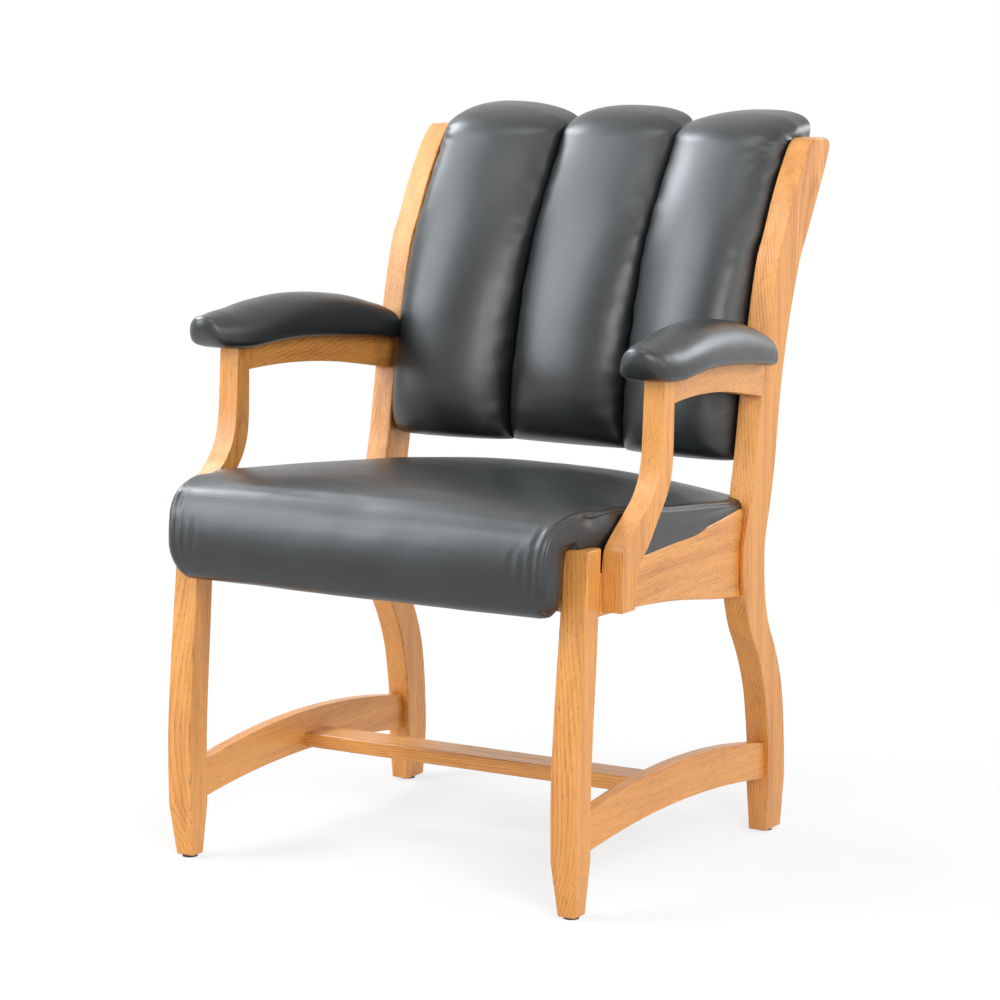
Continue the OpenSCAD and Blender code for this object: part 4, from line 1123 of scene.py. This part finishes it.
# Height of the pad's widest line, as a share of its height
PAD_WAIST = 0.36
# How square the pad's section is above that line and below it
PAD_POWERS = (0.92, 0.55)
PAD_POINTS = 64
# How far the leather hangs below the board at the sides, along the pad
PAD_SAG = ([-0.0675, 0.0, 0.06, 0.12, 0.18, 0.24, 0.297],
           [0.0004, 0.0008, 0.0025, 0.0060, 0.0070, 0.0045, 0.0020])
# How far the leather is wrapped below the line that the pad rests on
PAD_WRAP = 0.0017
# The line that a pad rests on: its height at the pad's origin and how much it rises to the nose,
# and its height and its arch along the arm rail
NOSE_FLOOR, NOSE_RISE = 0.622, 0.009
ARM_FLOOR, ARM_ARCH = 0.606, 0.02222
ARM_TOP = ([0, .15, .32, .50, .68, .85, 1], [.72, .90, 1, .92, .68, .34, 0])
ARM_LENGTH = 0.29813


class ARMCHAIR_OT_arm_pads(bpy.types.Operator):
    """Makes the padded leather arm pads"""

    bl_idname = "armchair.arm_pads"
    bl_label = "Arm pads"

    def execute(self, context):
        for side, turn in SIDES.items():
            mesh = closed_up(self.form(turn))
            swell(mesh, self.held, 0.003, 0.0045)
            places, normals = places_of(mesh), normals_of(mesh)
            shift = 0.0006 * rumple(places, 24.0, 4.0 * turn)
            move_out(mesh, places, normals, shift * (1 - self.held(places, normals)))
            mesh = fitted(mesh, [f"arm_{part}_{side}" for part in ("board", "rail", "post")])
            add_pad(f"leather_arm_pad_{side}", mesh, f"arm_pad_{side}", 50)
        return {"FINISHED"}

    def form(self, turn):
        """A pad with a rounded nose, which narrows and thins towards the back."""
        ease = np.concatenate([np.linspace(0, 0.08, 14), np.linspace(0.08, 0.92, 64)[1:],
                               np.linspace(0.92, 1, 12)[1:]])
        rings = []
        for place in ease:
            half, high, lift = (curve(PAD_ROWS[:, 0], PAD_ROWS[:, i], [place])[0]
                                for i in (1, 2, 3))
            y = PAD_ENDS[0] + (PAD_ENDS[1] - PAD_ENDS[0]) * place
            rings.append(self.ring(y, half * PAD_HALF, high * PAD_HEIGHT, max(lift, 0), turn))
        return shell("arm_pad", rings)

    def ring(self, y, half, high, lift, turn):
        angle = np.radians(-90 - 360 * (np.arange(PAD_POINTS) + 0.5) / PAD_POINTS)
        c, s = np.cos(angle), np.sin(angle)
        power = np.where(s > 0, *PAD_POWERS)
        x = half * np.sign(c) * np.abs(c) ** power
        up = np.abs(s) ** power
        z = np.where(s > 0, PAD_WAIST + (1 - PAD_WAIST) * up, PAD_WAIST * (1 - up))
        sag = curve(*PAD_SAG, [y])[0] * np.abs(x / half) ** 1.5 * np.where(s > 0, 1 - up, 1)
        z = self.floor(y) - PAD_WRAP + PAD_HEIGHT * lift + high * z - sag * (half / PAD_HALF)
        east = PAD_ORIGIN[0] + x * math.cos(PAD_TOE) - y * math.sin(PAD_TOE)
        north = PAD_ORIGIN[1] + x * math.sin(PAD_TOE) + y * math.cos(PAD_TOE)
        return np.stack([turn * east, front_line() + north, z], 1)

    def floor(self, y):
        """Height of the line that the pad rests on."""
        if y < 0:
            return NOSE_FLOOR + NOSE_RISE * (y / PAD_ENDS[0]) ** 2
        return ARM_FLOOR + ARM_ARCH * curve(*ARM_TOP, [y / ARM_LENGTH])[0]

    def along(self, places):
        """How far back each place lies along the pad."""
        east = np.abs(places[:, 0]) - PAD_ORIGIN[0]
        north = places[:, 1] - front_line() - PAD_ORIGIN[1]
        return north * math.cos(PAD_TOE) - east * math.sin(PAD_TOE)

    def above(self, places):
        return places[:, 2] - np.array([self.floor(y) for y in self.along(places)])

    def held(self, places, normals):
        low = falling(self.above(places), 0.010, 0.006)
        heel = rising(self.along(places) - PAD_ENDS[1], -0.014, 0.008)
        return np.clip(low + heel, 0, 1)


# Where the camera aims, across and up its picture, from the front line on the floor
AIM_RIGHT = 0.16109
AIM_UP = 0.46887
# The lamps: the place, the size, the power and the colour of each, and what they point at
LAMPS = {
    "right_box": ((3.0, 0.2, 1.5), (1.2, 1.8), 20, (1.0, 0.97, 0.92)),
    "top_box": ((0.2, -0.6, 3.0), (1.4, 1.2), 16, (0.95, 0.98, 1.0)),
    "left_box": ((-2.2, -1.9, 2.1), (1.6, 2.9), 102, (0.88, 0.95, 1.0)),
    "corner_box": ((-2.3, 0.5, 2.4), (1.1, 1.0), 54, (0.88, 0.95, 1.0)),
    "front_box": ((2.75, -2.5, 1.9), (1.8, 1.8), 70, (0.97, 0.98, 1.0)),
    "back_box": ((1.5, 2.5, 1.5), (1.3, 0.9), 30, (0.90, 0.96, 1.0)),
}
LAMP_AIM = (0, 0, 0.5)
# Width of the floor, and how far it lies below the feet
FLOOR_SIZE = 24.0
FLOOR_GAP = 0.0004
WHITE = (1.0, 1.0, 1.0, 1.0)


class ARMCHAIR_OT_stage(bpy.types.Operator):
    """Sets up the floor, the lamps and the camera"""

    bl_idname = "armchair.stage"
    bl_label = "Stage"

    def execute(self, context):
        scene = context.scene
        look = scene.armchair_stage
        scene.view_settings.view_transform = "Standard"
        self.world(scene)
        self.floor()
        self.lamps()
        self.camera(scene, look)
        return {"FINISHED"}

    def world(self, scene):
        """White to the camera and in reflections, and a plain pale light to all else."""
        scene.world = bpy.data.worlds.new("studio")
        recipe = Recipe(scene.world)
        light = recipe.node("ShaderNodeBackground", None, (0.95, 0.97, 1.0, 1.0), 0.30)
        white = recipe.node("ShaderNodeBackground", None, WHITE, 1.0)
        both = recipe.node("ShaderNodeMixShader", None, recipe.seen(), light, white)
        recipe.node("ShaderNodeOutputWorld", None, both)

    def floor(self):
        """A matt floor that takes the shadow, and is white to the camera further out."""
        bpy.ops.mesh.primitive_plane_add(size=FLOOR_SIZE, location=(0, 0, -FLOOR_GAP))
        floor = bpy.context.object
        floor.name = "floor"
        recipe = material_recipe("floor_white")
        matt = recipe.node("ShaderNodeBsdfDiffuse", None, (0.82, 0.82, 0.82, 1.0), 1.0)
        glow = recipe.node("ShaderNodeEmission", None, WHITE, 1.0)
        x, y, _ = recipe.parts(recipe.place())
        far = (x * x + y * y).math("SQRT").between(0.9, 2.2)
        glowing = recipe.seen() * (far * 0.30 + 0.70)
        both = recipe.node("ShaderNodeMixShader", None, glowing, matt, glow)
        recipe.node("ShaderNodeOutputMaterial", None, both)
        floor.data.materials.append(recipe.made)

    def lamps(self):
        aim = Vector(LAMP_AIM)
        for name, (place, size, power, tint) in LAMPS.items():
            light = bpy.data.lights.new(name, "AREA")
            light.shape = "RECTANGLE"
            light.size, light.size_y = size
            light.energy = power
            light.color = tint
            lamp = in_scene(name, light)
            lamp.location = place
            lamp.rotation_euler = (aim - Vector(place)).to_track_quat("-Z", "Y").to_euler()

    def camera(self, scene, look):
        a, e = look.azimuth, look.elevation
        back = Vector((math.sin(a) * math.cos(e), -math.cos(a) * math.cos(e), math.sin(e)))
        right = Vector((math.cos(a), math.sin(a), 0))
        up = back.cross(right)
        place = right * AIM_RIGHT + up * AIM_UP + back * look.distance
        place += Vector((0, front_line(), 0))
        data = bpy.data.cameras.new("camera")
        data.lens = look.lens
        data.sensor_width = 36.0
        scene.camera = in_scene("camera", data)
        scene.camera.matrix_world = (
            Matrix.Translation(place) @ Matrix((right, up, back)).transposed().to_4x4())


class ARMCHAIR_PT_panel(bpy.types.Panel):
    """The armchair's tools"""

    bl_idname = "ARMCHAIR_PT_panel"
    bl_label = "Guest Armchair"
    bl_space_type = "VIEW_3D"
    bl_region_type = "UI"
    bl_category = "Armchair"

    def draw(self, context):
        for group, owner in GROUPS.items():
            box = self.layout.box()
            settings = getattr(context.scene, group)
            for name in owner.__annotations__:
                box.prop(settings, name)
        for operator in OPERATORS:
            self.layout.operator(operator.bl_idname)


GROUPS = {
    "armchair_oak": OakProperties,
    "armchair_leather": LeatherProperties,
    "armchair_seat": SeatProperties,
    "armchair_back": BackProperties,
    "armchair_stage": StageProperties,
}
OPERATORS = (
    ARMCHAIR_OT_boards, ARMCHAIR_OT_inner_frame, ARMCHAIR_OT_back, ARMCHAIR_OT_seat,
    ARMCHAIR_OT_arm_pads, ARMCHAIR_OT_stage,
)


def register():
    for group in (*GROUPS.values(), *OPERATORS, ARMCHAIR_PT_panel):
        bpy.utils.register_class(group)
    for name, owner in GROUPS.items():
        setattr(bpy.types.Scene, name, bpy.props.PointerProperty(type=owner))


def unregister():
    for name in GROUPS:
        delattr(bpy.types.Scene, name)
    for group in reversed((*GROUPS.values(), *OPERATORS, ARMCHAIR_PT_panel)):
        bpy.utils.unregister_class(group)


def main():
    """Dresses the whole chair."""
    register()
    leather()
    bpy.ops.armchair.boards()
    bpy.ops.armchair.inner_frame()
    bpy.ops.armchair.back()
    bpy.ops.armchair.seat()
    bpy.ops.armchair.arm_pads()
    bpy.ops.armchair.stage()


if __name__ == "__main__":
    main()
